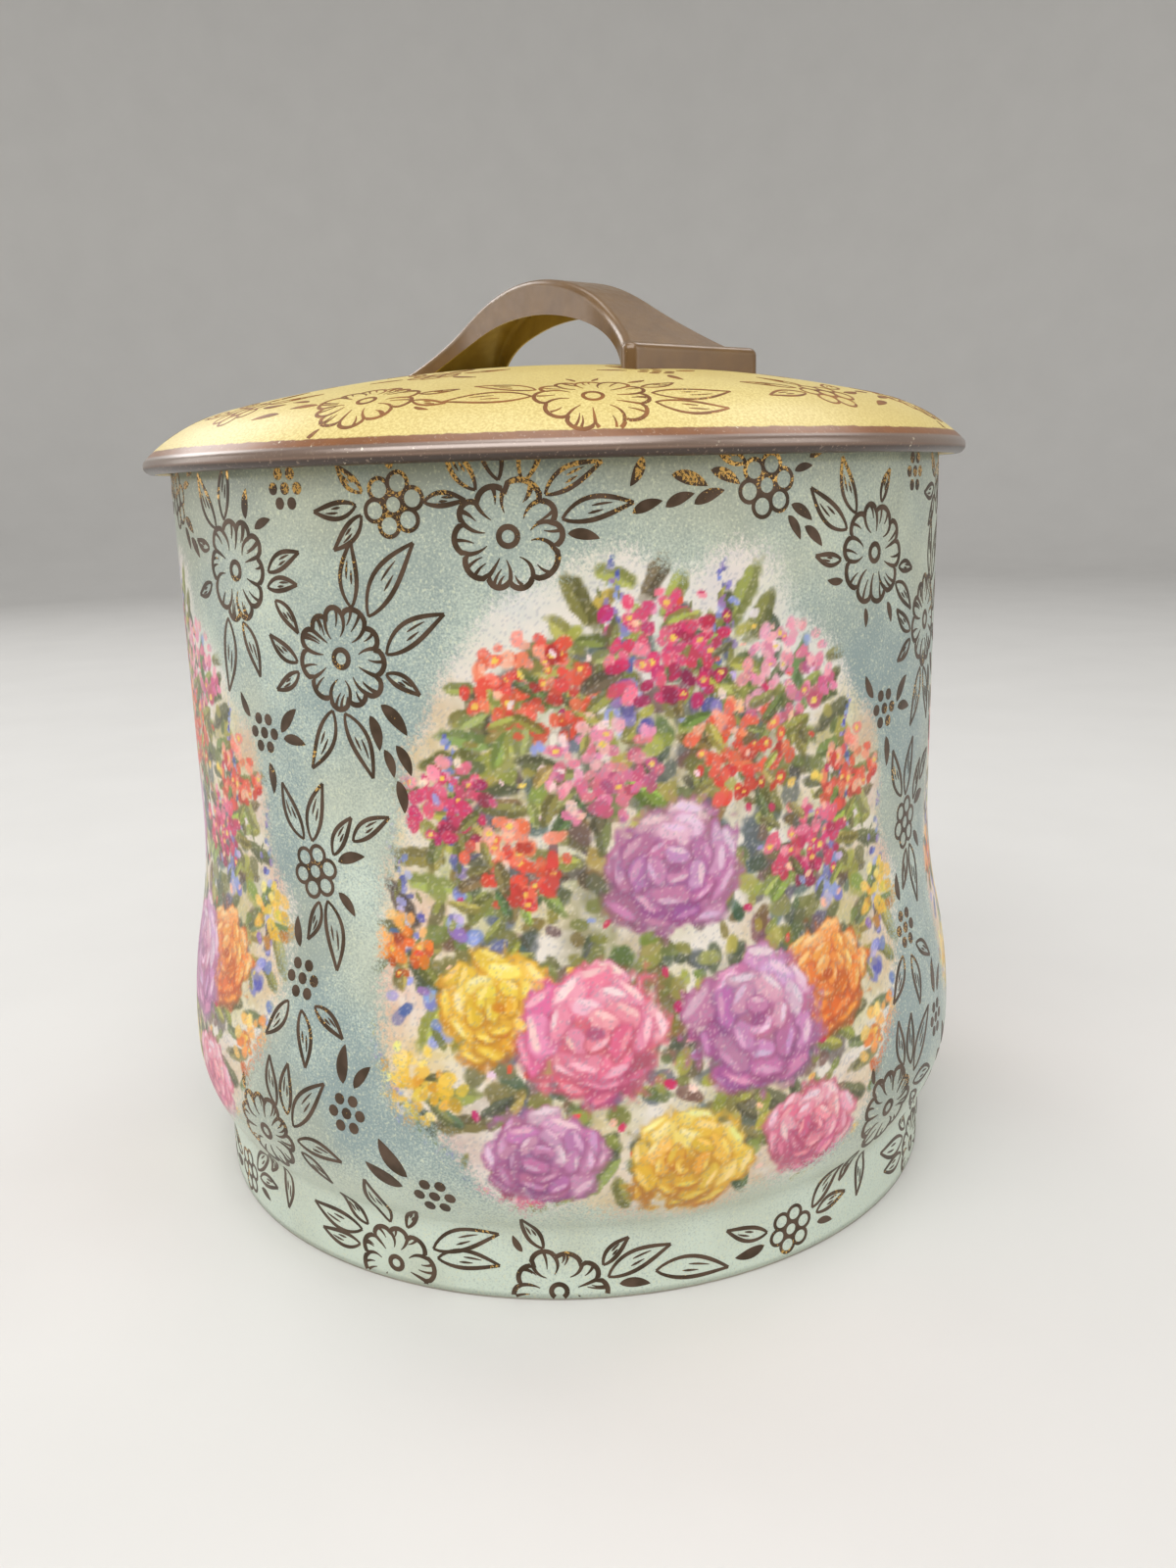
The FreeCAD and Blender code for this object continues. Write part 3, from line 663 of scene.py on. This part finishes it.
def make_wall_ink():
    """The line ornament on the wall.

    Each row holds a spray: angle from the front, height, repeats, motif, open and solid leaves.
    """
    draw = np.random.default_rng(11)
    rows = [
        (-6, 120.3, 4, blossom(7.7, 10, draw),
         [(16, 7.9, 11, 10.2), (46, 7.7, 28, 9), (98, 7.7, 96, 9), (72, 7.7, 68, 9), (124, 7.7, 120, 8)],
         [(1, 8.3, -10, 4.5)]),
        (-28, 103, 4, blossom(7.7, 11, draw),
         [(72, 7.9, 86, 9.5), (50, 8.2, 53, 13), (6, 7.9, 32, 11), (-15, 7.9, -30, 6), (186, 8.6, 146, 7),
          (196, 8.8, 210, 6), (-106, 8.2, -118, 10.5), (-90, 8.2, -66, 10.5)],
         [(-62, 9.4, -76, 5.4), (-46, 9.2, -48, 6), (-64, 14.8, -72, 4.4), (-56, 15.2, -64, 5),
          (-65, 19.8, -80, 5)]),
        (44, 115.5, 2, blossom(7.7, 10, draw),
         [(152, 8.2, 141, 10), (130, 8, 112, 9), (78, 7.8, 64, 5.5), (184, 8.5, 171, 5.5),
          (-19, 8.4, -6, 5.5), (-37, 8.6, -36, 8)],
         [(205, 8.8, 176, 3.4), (-105, 8.7, -86, 3), (-62, 9, -68, 3.6)]),
        (-46, 115.5, 2, blossom(7.7, 10, draw),
         [(0, 8.5, 23, 7.5), (-16, 8.4, 4, 6.5), (-24, 10.5, -47, 6.5), (-116, 8.4, -99, 12),
          (-84, 8, -67, 9), (158, 8.8, 166, 5), (195, 8.8, 200, 6), (128, 8, 122, 10), (106, 8, 76, 9.5)],
         [(63, 8.8, 81, 4.5), (46, 8.8, 20, 4)]),
        (-45, 22.5, 4, blossom(7.2, 10, draw),
         [(56, 7.6, 99, 8.5), (38, 9, 86, 9), (24, 9.2, 51, 12), (8, 9, -8, 9.5), (-6, 9.2, -46, 7),
          (-122, 8.6, -124, 6), (-100, 9, -96, 8.5)],
         [(129, 8, 94, 3)]),
        (-26, 3.4, 4, blossom(6.8, 9, draw),
         [(95, 7.4, 100, 9.5), (132, 7.8, 131, 6.8), (146, 7.9, 170, 11), (168, 7.4, 177, 8.5),
          (70, 7.5, 58, 5), (30, 8.2, 20, 12), (18, 8.2, 0, 10.5)],
         []),
        (-3.3, 1.7, 4, blossom(7.4, 10, draw),
         [(107, 8, 115, 7), (32, 8.4, 48, 6.2), (16, 8.2, 24, 11.2)],
         [(129, 9, 117, 3.2), (5, 9.7, -6, 5)]),
        (-19.5, 125, 4, six_rings(4.6),
         [(160, 5.2, 136, 5.5), (180, 6, 186, 7.5), (195, 5.4, 224, 7), (3, 4.7, 1, 6), (92, 5, 92, 5)],
         []),
        (25.1, 126.2, 4, six_rings(4.6),
         [(138, 4.8, 152, 5.5), (90, 5, 80, 5)],
         [(-33, 5.2, -31, 4.6), (-49, 5.8, -57, 4.2), (-41, 9.2, -41, 4.6), (21, 5.3, 12, 3.4),
          (26, 8.6, 19, 3.4)]),
        (-34.8, 69.2, 4, six_rings(4.4),
         [(112, 5.4, 115, 9.5), (92, 4.9, 72, 10), (38, 5.2, 58, 7.5), (36, 10, 32, 8), (-84, 4.9, -112, 7),
          (-63, 5, -80, 11)],
         [(24, 5.4, 15, 5.3), (-31, 5.4, -49, 4.6)]),
        (29.7, 5.4, 4, six_rings(4.2),
         [(169, 5, 162, 8), (26, 5.2, 41, 9), (10, 5.8, 9, 7.4)],
         [(-168, 5.6, -172, 5.6), (-9, 6, -14, 3.8)]),
        (-34.9, 127.6, 4, berries(3.6), [], []),
        (-42.6, 90.4, 4, berries(3.7),
         [],
         [(148, 4.2, 121, 4.4), (6, 4.4, 47, 5.4), (-6, 4.8, -6, 4.8), (-81, 4.8, -85, 5)]),
        (-37.2, 51.4, 4, berries(3.8),
         [(-124, 5, -128, 8.5), (-86, 5, -82, 9.2), (-50, 5, -34, 7.2)],
         [(100, 5, 97, 5)]),
        (-29.3, 31.6, 4, berries(3.8), [], [(96, 4.9, 87, 6.4), (70, 4.8, 52, 5)]),
        (-18.2, 19.3, 4, berries(3.8), [], [(142, 5.2, 126, 7.5), (168, 5.4, 150, 7)]),
        (12.9, 126.5, 4, [],
         [],
         [(135, 5.8, -115, 4.4), (89, 1.5, -17, 5.6), (19, 6.2, -24, 5), (212, 6.7, 20, 4.6),
          (-108, 3, 22, 4.6), (-38, 4.2, 21, 5), (122, 7, -28, 3)]),
        (14.4, 3.2, 4, [], [(171, 6.1, -9, 12.6)], []),
    ]
    placed = []
    for angle, height, count, motif, open_leaves, solid_leaves in rows:
        strokes = spray(motif, open_leaves, solid_leaves)
        placed += [(turn, height, float(wall_radius(height)), strokes) for turn in all_round(angle, count)]
    ink = make_ink_material("bronze_ink", WALL_INK, WALL_RUBBED)
    limits = (INK_MARGIN, BODY_HEIGHT - INK_MARGIN)
    return draw_ink("wall_linework", placed, on_wall, limits, 1.0, ink, "box")


def make_lid_ink():
    """The line ornament on the lid: blossoms that the border cuts, and smaller sprays nearer the handle.

    Each row holds a spray: angle from the front, distance from the axis, motif, open and solid leaves.
    """
    draw = np.random.default_rng(23)
    rows = [
        (4.5, 65.0, blossom(8.2, 11, draw),
         [(-24, 8.6, -25, 7), (-4, 8.6, -2, 12.5), (16, 8.6, 10, 10), (-160, 8.6, -158, 11),
          (-178, 8.6, 176, 12.5)],
         [(-46, 9.5, -30, 4), (-84, 8.8, -60, 3), (-102, 8.8, -120, 3)]),
        (-25.5, 63.5, blossom(7.6, 11, draw),
         [(8, 8, 15, 5.5), (-14, 8, -20, 6)],
         [(20, 9.6, 20, 2.4), (175, 8.4, 172, 5), (168, 14.4, 166, 5), (186, 12, 184, 4), (112, 8, 112, 3)]),
        (40.0, 64.0, six_rings(4.6),
         [(-32, 5, -36, 9), (-150, 5, -152, 9), (178, 5, 172, 8), (-94, 5, -100, 8)],
         [(-8, 5.4, -8, 5)]),
        (20.0, 46.0, berries(3.4),
         [(-70, 4.6, -66, 8), (-110, 4.6, -114, 8)],
         [(-20, 4.6, -16, 5), (200, 4.6, 196, 5), (90, 4.6, 90, 5)]),
        (42.0, 28.0, berries(3.0),
         [(-70, 4.2, -60, 6.5), (-150, 4.2, -140, 6.5)],
         [(30, 4.2, 40, 4), (100, 4.2, 110, 4)]),
        (64.0, 43.0, six_rings(4.2),
         [(-90, 4.8, -90, 8), (-30, 4.8, -30, 8), (210, 4.8, 210, 8)],
         [(30, 5, 30, 5), (150, 5, 150, 5)]),
    ]
    placed = []
    for angle, reach, motif, open_leaves, solid_leaves in rows:
        strokes = spray(motif, open_leaves, solid_leaves)
        placed += [(turn, reach, reach, strokes) for turn in all_round(angle, REPEATS)]
    ink = make_ink_material("rust_ink", LID_INK, LID_RUBBED)
    return draw_ink("lid_linework", placed, on_lid, (0.0, LID_INK_REACH), LID_LINE_SHARE, ink, "lid")


def any_of(colours):
    """One of some colours, picked at random."""
    return colours[rng.integers(len(colours))]


class Canvas:
    """A picture painted in daubs, on a grid of points in millimetres."""

    def __init__(self, ground):
        half, tall = PICTURE_HALF
        self.x = np.arange(-half, half + PICTURE_PITCH, PICTURE_PITCH)
        self.z = np.arange(PICTURE_MIDDLE - tall, PICTURE_MIDDLE + tall + PICTURE_PITCH, PICTURE_PITCH)
        self.rgb = np.ones((len(self.z), len(self.x), 3)) * np.array(ground) / 255
        self.ragged = self.clouds(0.9) + self.clouds(2.0) - 1
        self.grain = 0.8 + 0.3 * self.clouds(0.7)

    def clouds(self, cell):
        """Smooth noise of 0 to 1 over the grid, in cells of some millimetres."""
        rows = int((self.z[-1] - self.z[0]) / cell) + 3
        columns = int((self.x[-1] - self.x[0]) / cell) + 3
        coarse = rng.random((rows, columns))
        down, over = (self.z - self.z[0]) / cell, (self.x - self.x[0]) / cell
        i, j = down.astype(int)[:, None], over.astype(int)[None]
        u, v = down[:, None] - i, over[None] - j
        top = coarse[i, j] * (1 - v) + coarse[i, j + 1] * v
        bottom = coarse[i + 1, j] * (1 - v) + coarse[i + 1, j + 1] * v
        return top * (1 - u) + bottom * u

    def daub(self, x, z, length, width, angle, colour, opacity=0.95, soft=0.25):
        """One touch of the brush: a ragged oval that thins out over the soft share of its size."""
        reach = 1.4 * max(length, width)
        j = slice(*np.searchsorted(self.x, (x - reach, x + reach)))
        i = slice(*np.searchsorted(self.z, (z - reach, z + reach)))
        dx, dz = self.x[None, j] - x, self.z[i, None] - z
        along = (dx * math.cos(angle) + dz * math.sin(angle)) / length
        across = (dz * math.cos(angle) - dx * math.sin(angle)) / width
        away = np.hypot(along, across) + 0.35 * self.ragged[i, j]
        share = np.clip((1 - away) / soft, 0, 1) * opacity * self.grain[i, j]
        patch = self.rgb[i, j]
        patch += np.clip(share, 0, 1)[..., None] * (np.asarray(colour) / 255 - patch)

    def scatter(self, count, centre, spread, sizes, colours, opacity=0.9, soft=0.3, slim=(0.45, 0.8)):
        """Many daubs within an oval, in colours picked at random."""
        for _ in range(count):
            turn, out = rng.uniform(0, 2 * math.pi), math.sqrt(rng.random())
            x = centre[0] + spread[0] * out * math.cos(turn)
            z = centre[1] + spread[1] * out * math.sin(turn)
            size = rng.uniform(*sizes)
            colour = np.array(any_of(colours)) + rng.normal(0, 7, 3)
            self.daub(x, z, size, size * rng.uniform(*slim), rng.uniform(0, math.pi), colour, opacity, soft)

    def speckle(self, where, share, colour):
        """Blend a share of a colour into single points of the grid."""
        self.rgb += (where * share)[..., None] * (np.array(colour) / 255 - self.rgb)


# Paint colours on the screen's scale: flowers from dark to pale, then greens, shadows and blues
PINK = ((176, 72, 104), (222, 112, 142), (238, 158, 176), (250, 218, 216))
MAUVE = ((142, 74, 122), (186, 112, 158), (212, 152, 186), (236, 208, 222))
CORAL = ((178, 44, 36), (226, 74, 52), (240, 122, 92), (250, 190, 164))
CRIMSON = ((140, 26, 66), (202, 40, 92), (228, 86, 120), (246, 160, 170))
GOLD = ((188, 122, 30), (226, 174, 44), (242, 206, 84), (250, 232, 158))
ORANGE = ((176, 70, 24), (228, 112, 36), (242, 156, 66), (250, 212, 140))
GREENS = ((112, 116, 56), (146, 148, 66), (168, 166, 76), (94, 100, 62), (126, 122, 58))
DEEP = ((70, 76, 52), (92, 96, 84), (112, 84, 78), (88, 94, 106), (104, 88, 46))
BLUES = ((86, 92, 160), (118, 128, 196), (152, 158, 214), (190, 186, 222), (140, 118, 178))
TOUCHES = (CORAL[1], CRIMSON[1], GOLD[2], PINK[3], BLUES[2], CORAL[3])
PAPER = (231, 222, 210)
DARK_SPECK = (150, 152, 166)
PALE_SPECK = (246, 234, 214)


def lit_tone(tones, sun):
    """A colour between dark and pale, by how much light falls on it, with a little chance."""
    tones = np.array(tones, float)
    place = np.clip(sun, 0, 1) * (len(tones) - 1)
    colour = [np.interp(place, np.arange(len(tones)), tones[:, c]) for c in range(3)]
    return np.array(colour) + rng.normal(0, 6, 3)


def paint_rose(canvas, x, z, radius, tones):
    """A full bloom of overlapping petals, painted from its rim to its heart."""
    canvas.daub(x, z, radius, 0.93 * radius, 0, lit_tone(tones, 0.25), 0.95, 0.2)
    count = 24
    start = rng.uniform(0, 2 * math.pi)
    for k in reversed(range(count)):
        turn = start + 2.4 * k + rng.normal(0, 0.15)
        out = 0.84 * math.sqrt((k + 0.4) / count)
        px, pz = x + out * radius * math.cos(turn), z + 0.93 * out * radius * math.sin(turn)
        span = radius * (0.17 + 0.2 * out) * rng.uniform(0.85, 1.2)
        lean = turn + math.pi / 2 + rng.normal(0, 0.25)
        sun = 0.5 + 0.34 * out * math.sin(turn + 0.5) + rng.normal(0, 0.13)
        shade = lit_tone(tones, sun - 0.42)
        canvas.daub(px, pz - 0.12 * span, 1.2 * span, 0.82 * span, lean, shade, 0.75, 0.3)
        canvas.daub(px, pz, span, 0.6 * span, lean, lit_tone(tones, sun), 0.95, 0.25)
        edge = 0.3 * span
        lip_x, lip_z = px + edge * math.cos(turn), pz + edge * math.sin(turn)
        canvas.daub(lip_x, lip_z, 0.7 * span, 0.2 * span, lean, lit_tone(tones, sun + 0.32), 0.85, 0.4)
    canvas.daub(x, z, 0.13 * radius, 0.1 * radius, 0, lit_tone(tones, 0.05), 0.9, 0.4)


def paint_cluster(canvas, x, z, radius, tones, touch=1.25):
    """A mass of small blossoms in flat touches, shaded below and pale above, with leaves under it."""
    for _ in range(int(1.1 * radius)):
        turn = rng.uniform(0.9 * math.pi, 2.1 * math.pi)
        out = radius * rng.uniform(0.75, 1.25)
        green = any_of(GREENS)
        length = rng.uniform(2.6, 4.2)
        paint_leaf(canvas, x + out * math.cos(turn), z + out * math.sin(turn), length, turn, green)
    count = int(1.5 * (radius / touch) ** 2)
    for k in range(count):
        turn = 2.4 * k + rng.normal(0, 0.4)
        out = radius * math.sqrt((k + 0.5) / count) * rng.uniform(0.85, 1.15)
        px, pz = x + out * math.cos(turn), z + 0.9 * out * math.sin(turn)
        sun = 0.48 + 0.3 * (pz - z) / radius - 0.14 * (px - x) / radius + rng.normal(0, 0.2)
        size = touch * rng.uniform(0.75, 1.35)
        canvas.daub(px, pz, size, 0.72 * size, rng.uniform(0, math.pi), lit_tone(tones, sun))
        if rng.random() < 0.16:
            canvas.daub(px, pz, 0.4 * size, 0.34 * size, 0, GOLD[2])


def paint_leaf(canvas, x, z, length, angle, green):
    """One leaf: a dark blade with a lit side."""
    tone = np.array(green, float) + rng.normal(0, 8, 3)
    canvas.daub(x, z, length, 0.36 * length, angle, tone * 0.78)
    side = 0.14 * length
    lit_x, lit_z = x - side * math.sin(angle), z + side * math.cos(angle)
    canvas.daub(lit_x, lit_z, 0.86 * length, 0.17 * length, angle, tone + 14)


def paint_spike(canvas, foot, tip, tones):
    """A tall flower spike that thins towards its tip."""
    foot, tip = np.array(foot, float), np.array(tip, float)
    for share in np.linspace(0, 1, 40):
        width = 3.4 * (1 - share) ** 0.7 + 0.4
        x, z = foot + (tip - foot) * share + rng.normal(0, 1, 2) * width * np.array((0.5, 0.2))
        size = rng.uniform(0.7, 1.1) * (1.2 * (1 - share) + 0.55)
        colour = np.array(any_of(tones)) + rng.normal(0, 8, 3)
        canvas.daub(x, z, size, 0.72 * size, rng.uniform(0, math.pi), colour)
        if rng.random() < 0.3:
            aside = rng.normal(0, width)
            angle = rng.uniform(0.8, 2.2)
            canvas.daub(x + aside, z - 1, 1.3 * size, 0.4 * size, angle, any_of(GREENS))


def taper(z):
    """The picture's share of its full width at a height: it narrows towards its top."""
    return 1 - TAPER_MOST * np.clip((z - TAPER_FROM) / TAPER_RISE, 0, 1) ** 1.2


def in_bouquet(half, turn, out):
    """A point at a share of the way from the picture's middle to the edge of an oval."""
    z = PICTURE_MIDDLE + half[1] * out * math.sin(turn)
    return half[0] * taper(z) * out * math.cos(turn), z


def paint_foliage(canvas):
    """Pale washes, then shadows, a wreath of leaves and lighter greens, as the ground for the flowers."""
    middle = (0.0, PICTURE_MIDDLE)
    washes = (
        (60, (0, 102), (44, 17), (6, 12), ((214, 214, 208), (226, 212, 204), (204, 210, 200))),
        (60, (-34, 66), (14, 30), (5, 10), ((214, 190, 140), (206, 196, 146), (222, 178, 150))),
        (60, (35, 66), (14, 30), (5, 10), ((222, 192, 120), (200, 196, 140), (216, 184, 150))),
        (80, (0, 24), (42, 12), (5, 10), ((222, 196, 156), (200, 180, 164), (210, 190, 138))),
        (150, middle, (37, 42), (4, 8), ((176, 172, 110), (150, 150, 96), (190, 170, 120), (140, 132, 104))),
    )
    for count, centre, spread, sizes, colours in washes:
        canvas.scatter(count, centre, spread, sizes, colours, 0.45, 0.9)
    canvas.scatter(420, middle, (36, 43), (1.4, 3.4), DEEP, 0.85)
    for turn in np.linspace(0, 2 * math.pi, 74, endpoint=False):
        x, z = in_bouquet((41, 45), turn, rng.uniform(0.84, 1.1))
        length = rng.uniform(3.0, 5.6)
        angle = turn + rng.normal(0, 0.5)
        paint_leaf(canvas, x, z, length, angle, any_of(GREENS))
    canvas.scatter(380, middle, (37, 44), (1.2, 2.8), GREENS)


def paint_flowers(canvas):
    """Blue spikes at the back, clusters of small blossoms, stray touches and leaves, and roses in front."""
    spikes = (
        ((-38, 46), (-46, 80)), ((-31, 60), (-38, 92)), ((38, 44), (46, 78)), ((30, 62), (39, 94)),
        ((-8, 92), (-10, 117)), ((9, 92), (12, 116)), ((-36, 24), (-46, 44)), ((37, 22), (46, 42)),
    )
    for ends in spikes:
        foot, tip = ((x * taper(z), z) for x, z in ends)
        paint_spike(canvas, foot, tip, BLUES)
    clusters = (
        (-24, 99, 9.0, CORAL), (0, 104, 9.5, CRIMSON), (24, 99, 9.0, PINK), (-36, 82, 7.0, CRIMSON),
        (37, 82, 7.0, CORAL), (-11, 87, 8.5, PINK), (13, 88, 8.5, CORAL), (-41, 60, 5.5, ORANGE),
        (42, 60, 5.5, GOLD), (-24, 73, 7.5, CORAL), (26, 72, 7.5, CRIMSON), (-39, 38, 7.0, GOLD),
        (40, 36, 7.0, ORANGE), (-28, 18, 6.5, PINK), (29, 17, 6.5, GOLD),
    )
    for x, z, radius, tones in clusters:
        paint_cluster(canvas, x * taper(z), z, radius, tones)
    canvas.scatter(150, (0.0, PICTURE_MIDDLE), (40, 47), (0.6, 1.2), TOUCHES, 0.95)
    for _ in range(46):
        turn = rng.uniform(0, 2 * math.pi)
        x, z = in_bouquet((40, 46), turn, rng.uniform(0.5, 1.0))
        length = rng.uniform(2.0, 3.2)
        angle = rng.uniform(0, 2 * math.pi)
        paint_leaf(canvas, x, z, length, angle, any_of(GREENS))
    roses = (
        (1, 71, 11.0, MAUVE), (-26, 51, 9.5, GOLD), (27, 50, 9.5, ORANGE), (-12, 47, 11.5, PINK),
        (13, 46, 12.0, MAUVE), (-20, 28, 9.0, MAUVE), (22, 26, 9.0, PINK), (1, 25, 10.0, GOLD),
    )
    for x, z, radius, tones in roses:
        paint_rose(canvas, x, z, radius, tones)


def paint_bouquet():
    """A loose bouquet of garden flowers on a pale ground, with the fine grain of a printed picture."""
    canvas = Canvas(PAPER)
    paint_foliage(canvas)
    paint_flowers(canvas)
    chance = rng.random(canvas.rgb.shape[:2])
    thin = 0.5 + 0.5 * canvas.clouds(6.0)
    canvas.speckle(chance < 0.16 * thin, 0.32, DARK_SPECK)
    canvas.speckle(chance > 1 - 0.1 * thin, 0.3, PALE_SPECK)
    return canvas


def picture_cover(canvas, grid_x, grid_z):
    """How far the paint covers the wall's ground: all of it inside, and less over a soft rounded edge."""
    half, tall = PICTURE_HALF
    across = np.abs(grid_x / (half * taper(grid_z)))
    upward = np.abs((grid_z - PICTURE_MIDDLE) / tall)
    edge = (across**2.5 + upward**2.5) ** 0.4
    edge += 0.12 * (canvas.clouds(9.0) - 0.5)
    return np.clip((0.99 - edge) / 0.2, 0, 1)


def make_pictures():
    """The same painted picture, printed once in each quarter of the wall."""
    canvas = paint_bouquet()
    grid_x, grid_z = np.meshgrid(canvas.x, canvas.z)
    cover = picture_cover(canvas, grid_x, grid_z)
    paint = np.concatenate([to_linear(canvas.rgb), cover[..., None]], axis=2).reshape(-1, 4)
    rows, columns = grid_x.shape
    corner = (np.arange(rows - 1)[:, None] * columns + np.arange(columns - 1)).reshape(-1)
    shown = (cover[:-1, :-1] + cover[1:, :-1] + cover[:-1, 1:] + cover[1:, 1:]).reshape(-1) > 0
    corner = corner[shown]
    faces = np.stack([corner, corner + 1, corner + columns + 1, corner + columns], axis=1)
    kept = np.unique(faces)
    new_index = np.zeros(rows * columns, int)
    new_index[kept] = np.arange(len(kept))
    material = make_picture_material()
    pieces = []
    for number, turn in enumerate(all_round(PICTURE_CENTRE, REPEATS), 1):
        points = on_wall(turn + grid_x / BODY_RADIUS, grid_z, PICTURE_FILM).reshape(-1, 3)[kept]
        piece = new_piece(f"bouquet_print_{number}", points, new_index[faces].tolist(), material, "box")
        colours = piece.data.attributes.new("paint", "FLOAT_COLOR", "POINT")
        colours.data.foreach_set("color", paint[kept].astype(np.float32).reshape(-1))
        pieces.append(piece)
    return pieces


def give_finish(node, material):
    """Put one material on every slot of a solid's object."""
    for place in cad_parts[node].material_slots:
        place.link = "OBJECT"
        place.material = material


def make_floor():
    """A pale floor that sweeps up all round."""
    turns = np.linspace(0, math.pi / 2, 12)
    sweep = [(FLOOR_REACH + FLOOR_BEND * math.sin(t), FLOOR_BEND - FLOOR_BEND * math.cos(t)) for t in turns]
    outline = [(0, 0), (FLOOR_INNER, 0), *sweep, (FLOOR_REACH + FLOOR_BEND, FLOOR_TOP)]
    floor = lathe("studio_floor", outline, FLOOR_STEPS, make_floor_material(), closed=False)
    floor.location.z = -FLOOR_DROP * MM


def make_lights():
    """Soft lamps, each with its place and size in metres and its power in watts, in an evenly lit room."""
    lamps = (
        ("key", (-0.25, -0.7, 0.95), (1.4, 0.75), 11.2),
        ("overhead", (0.0, 0.0, 1.35), (1.3, 0.45), 4.6),
        ("fill", (0.9, -0.45, 0.5), (0.6, 0.7), 1.8),
        ("edge", (0.55, 0.5, 1.15), (0.45, 0.45), 2.2),
        ("back", (-0.75, 0.85, 0.85), (0.55, 0.45), 3.0),
        ("side", (-1.1, 0.3, 0.35), (0.5, 0.6), 1.2),
    )
    for name, place, size, power in lamps:
        data = bpy.data.lights.new(name, "AREA")
        data.shape = "RECTANGLE"
        data.size, data.size_y = size
        data.energy = power
        lamp = bpy.data.objects.new(name, data)
        bpy.context.scene.collection.objects.link(lamp)
        spot = TO_PHOTO @ Vector(place)
        aim = LAMP_AIM - spot
        lamp.matrix_world = Matrix.Translation(spot) @ aim.to_track_quat("-Z", "Y").to_matrix().to_4x4()
    world = bpy.data.worlds.new("soft_room")
    world.use_nodes = True
    background = world.node_tree.nodes["Background"]
    background.inputs["Color"].default_value = ROOM_LIGHT
    background.inputs["Strength"].default_value = ROOM_STRENGTH
    bpy.context.scene.world = world
    bpy.context.scene.view_settings.view_transform = "Standard"


def make_camera():
    """The photograph's camera, carried round with the turn of the handle."""
    yaw, pitch, roll = (math.radians(a) for a in (CAMERA_YAW, CAMERA_PITCH, CAMERA_ROLL))
    ahead = Vector((math.sin(yaw) * math.cos(pitch), math.cos(yaw) * math.cos(pitch), -math.sin(pitch)))
    right = Vector((math.cos(yaw), -math.sin(yaw), 0))
    above = right.cross(ahead)
    across = right * math.cos(roll) - above * math.sin(roll)
    upward = right * math.sin(roll) + above * math.cos(roll)
    data = bpy.data.cameras.new("photo_camera")
    data.sensor_fit = "VERTICAL"
    data.sensor_height = SENSOR_HEIGHT
    data.lens = CAMERA_LENS
    data.clip_start = 0.01
    camera = bpy.data.objects.new("photo_camera", data)
    bpy.context.scene.collection.objects.link(camera)
    axes = Matrix((across, upward, -ahead)).transposed().to_4x4()
    place = Matrix.Translation(CAMERA_PLACE * MM) @ axes
    camera.matrix_world = TO_PHOTO @ place
    bpy.context.scene.camera = camera


make_camera()
make_floor()
make_lights()
tinplate = make_tinplate_material()
for node in ("body_wall", "base_plate", "lid_dome", "lid_collar"):
    give_finish(node, tinplate)
give_finish("lid_handle", make_handle_material())
make_wall_ground()
make_wall_ink()
for picture in make_pictures():
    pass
make_lid_ground()
make_lid_ink()
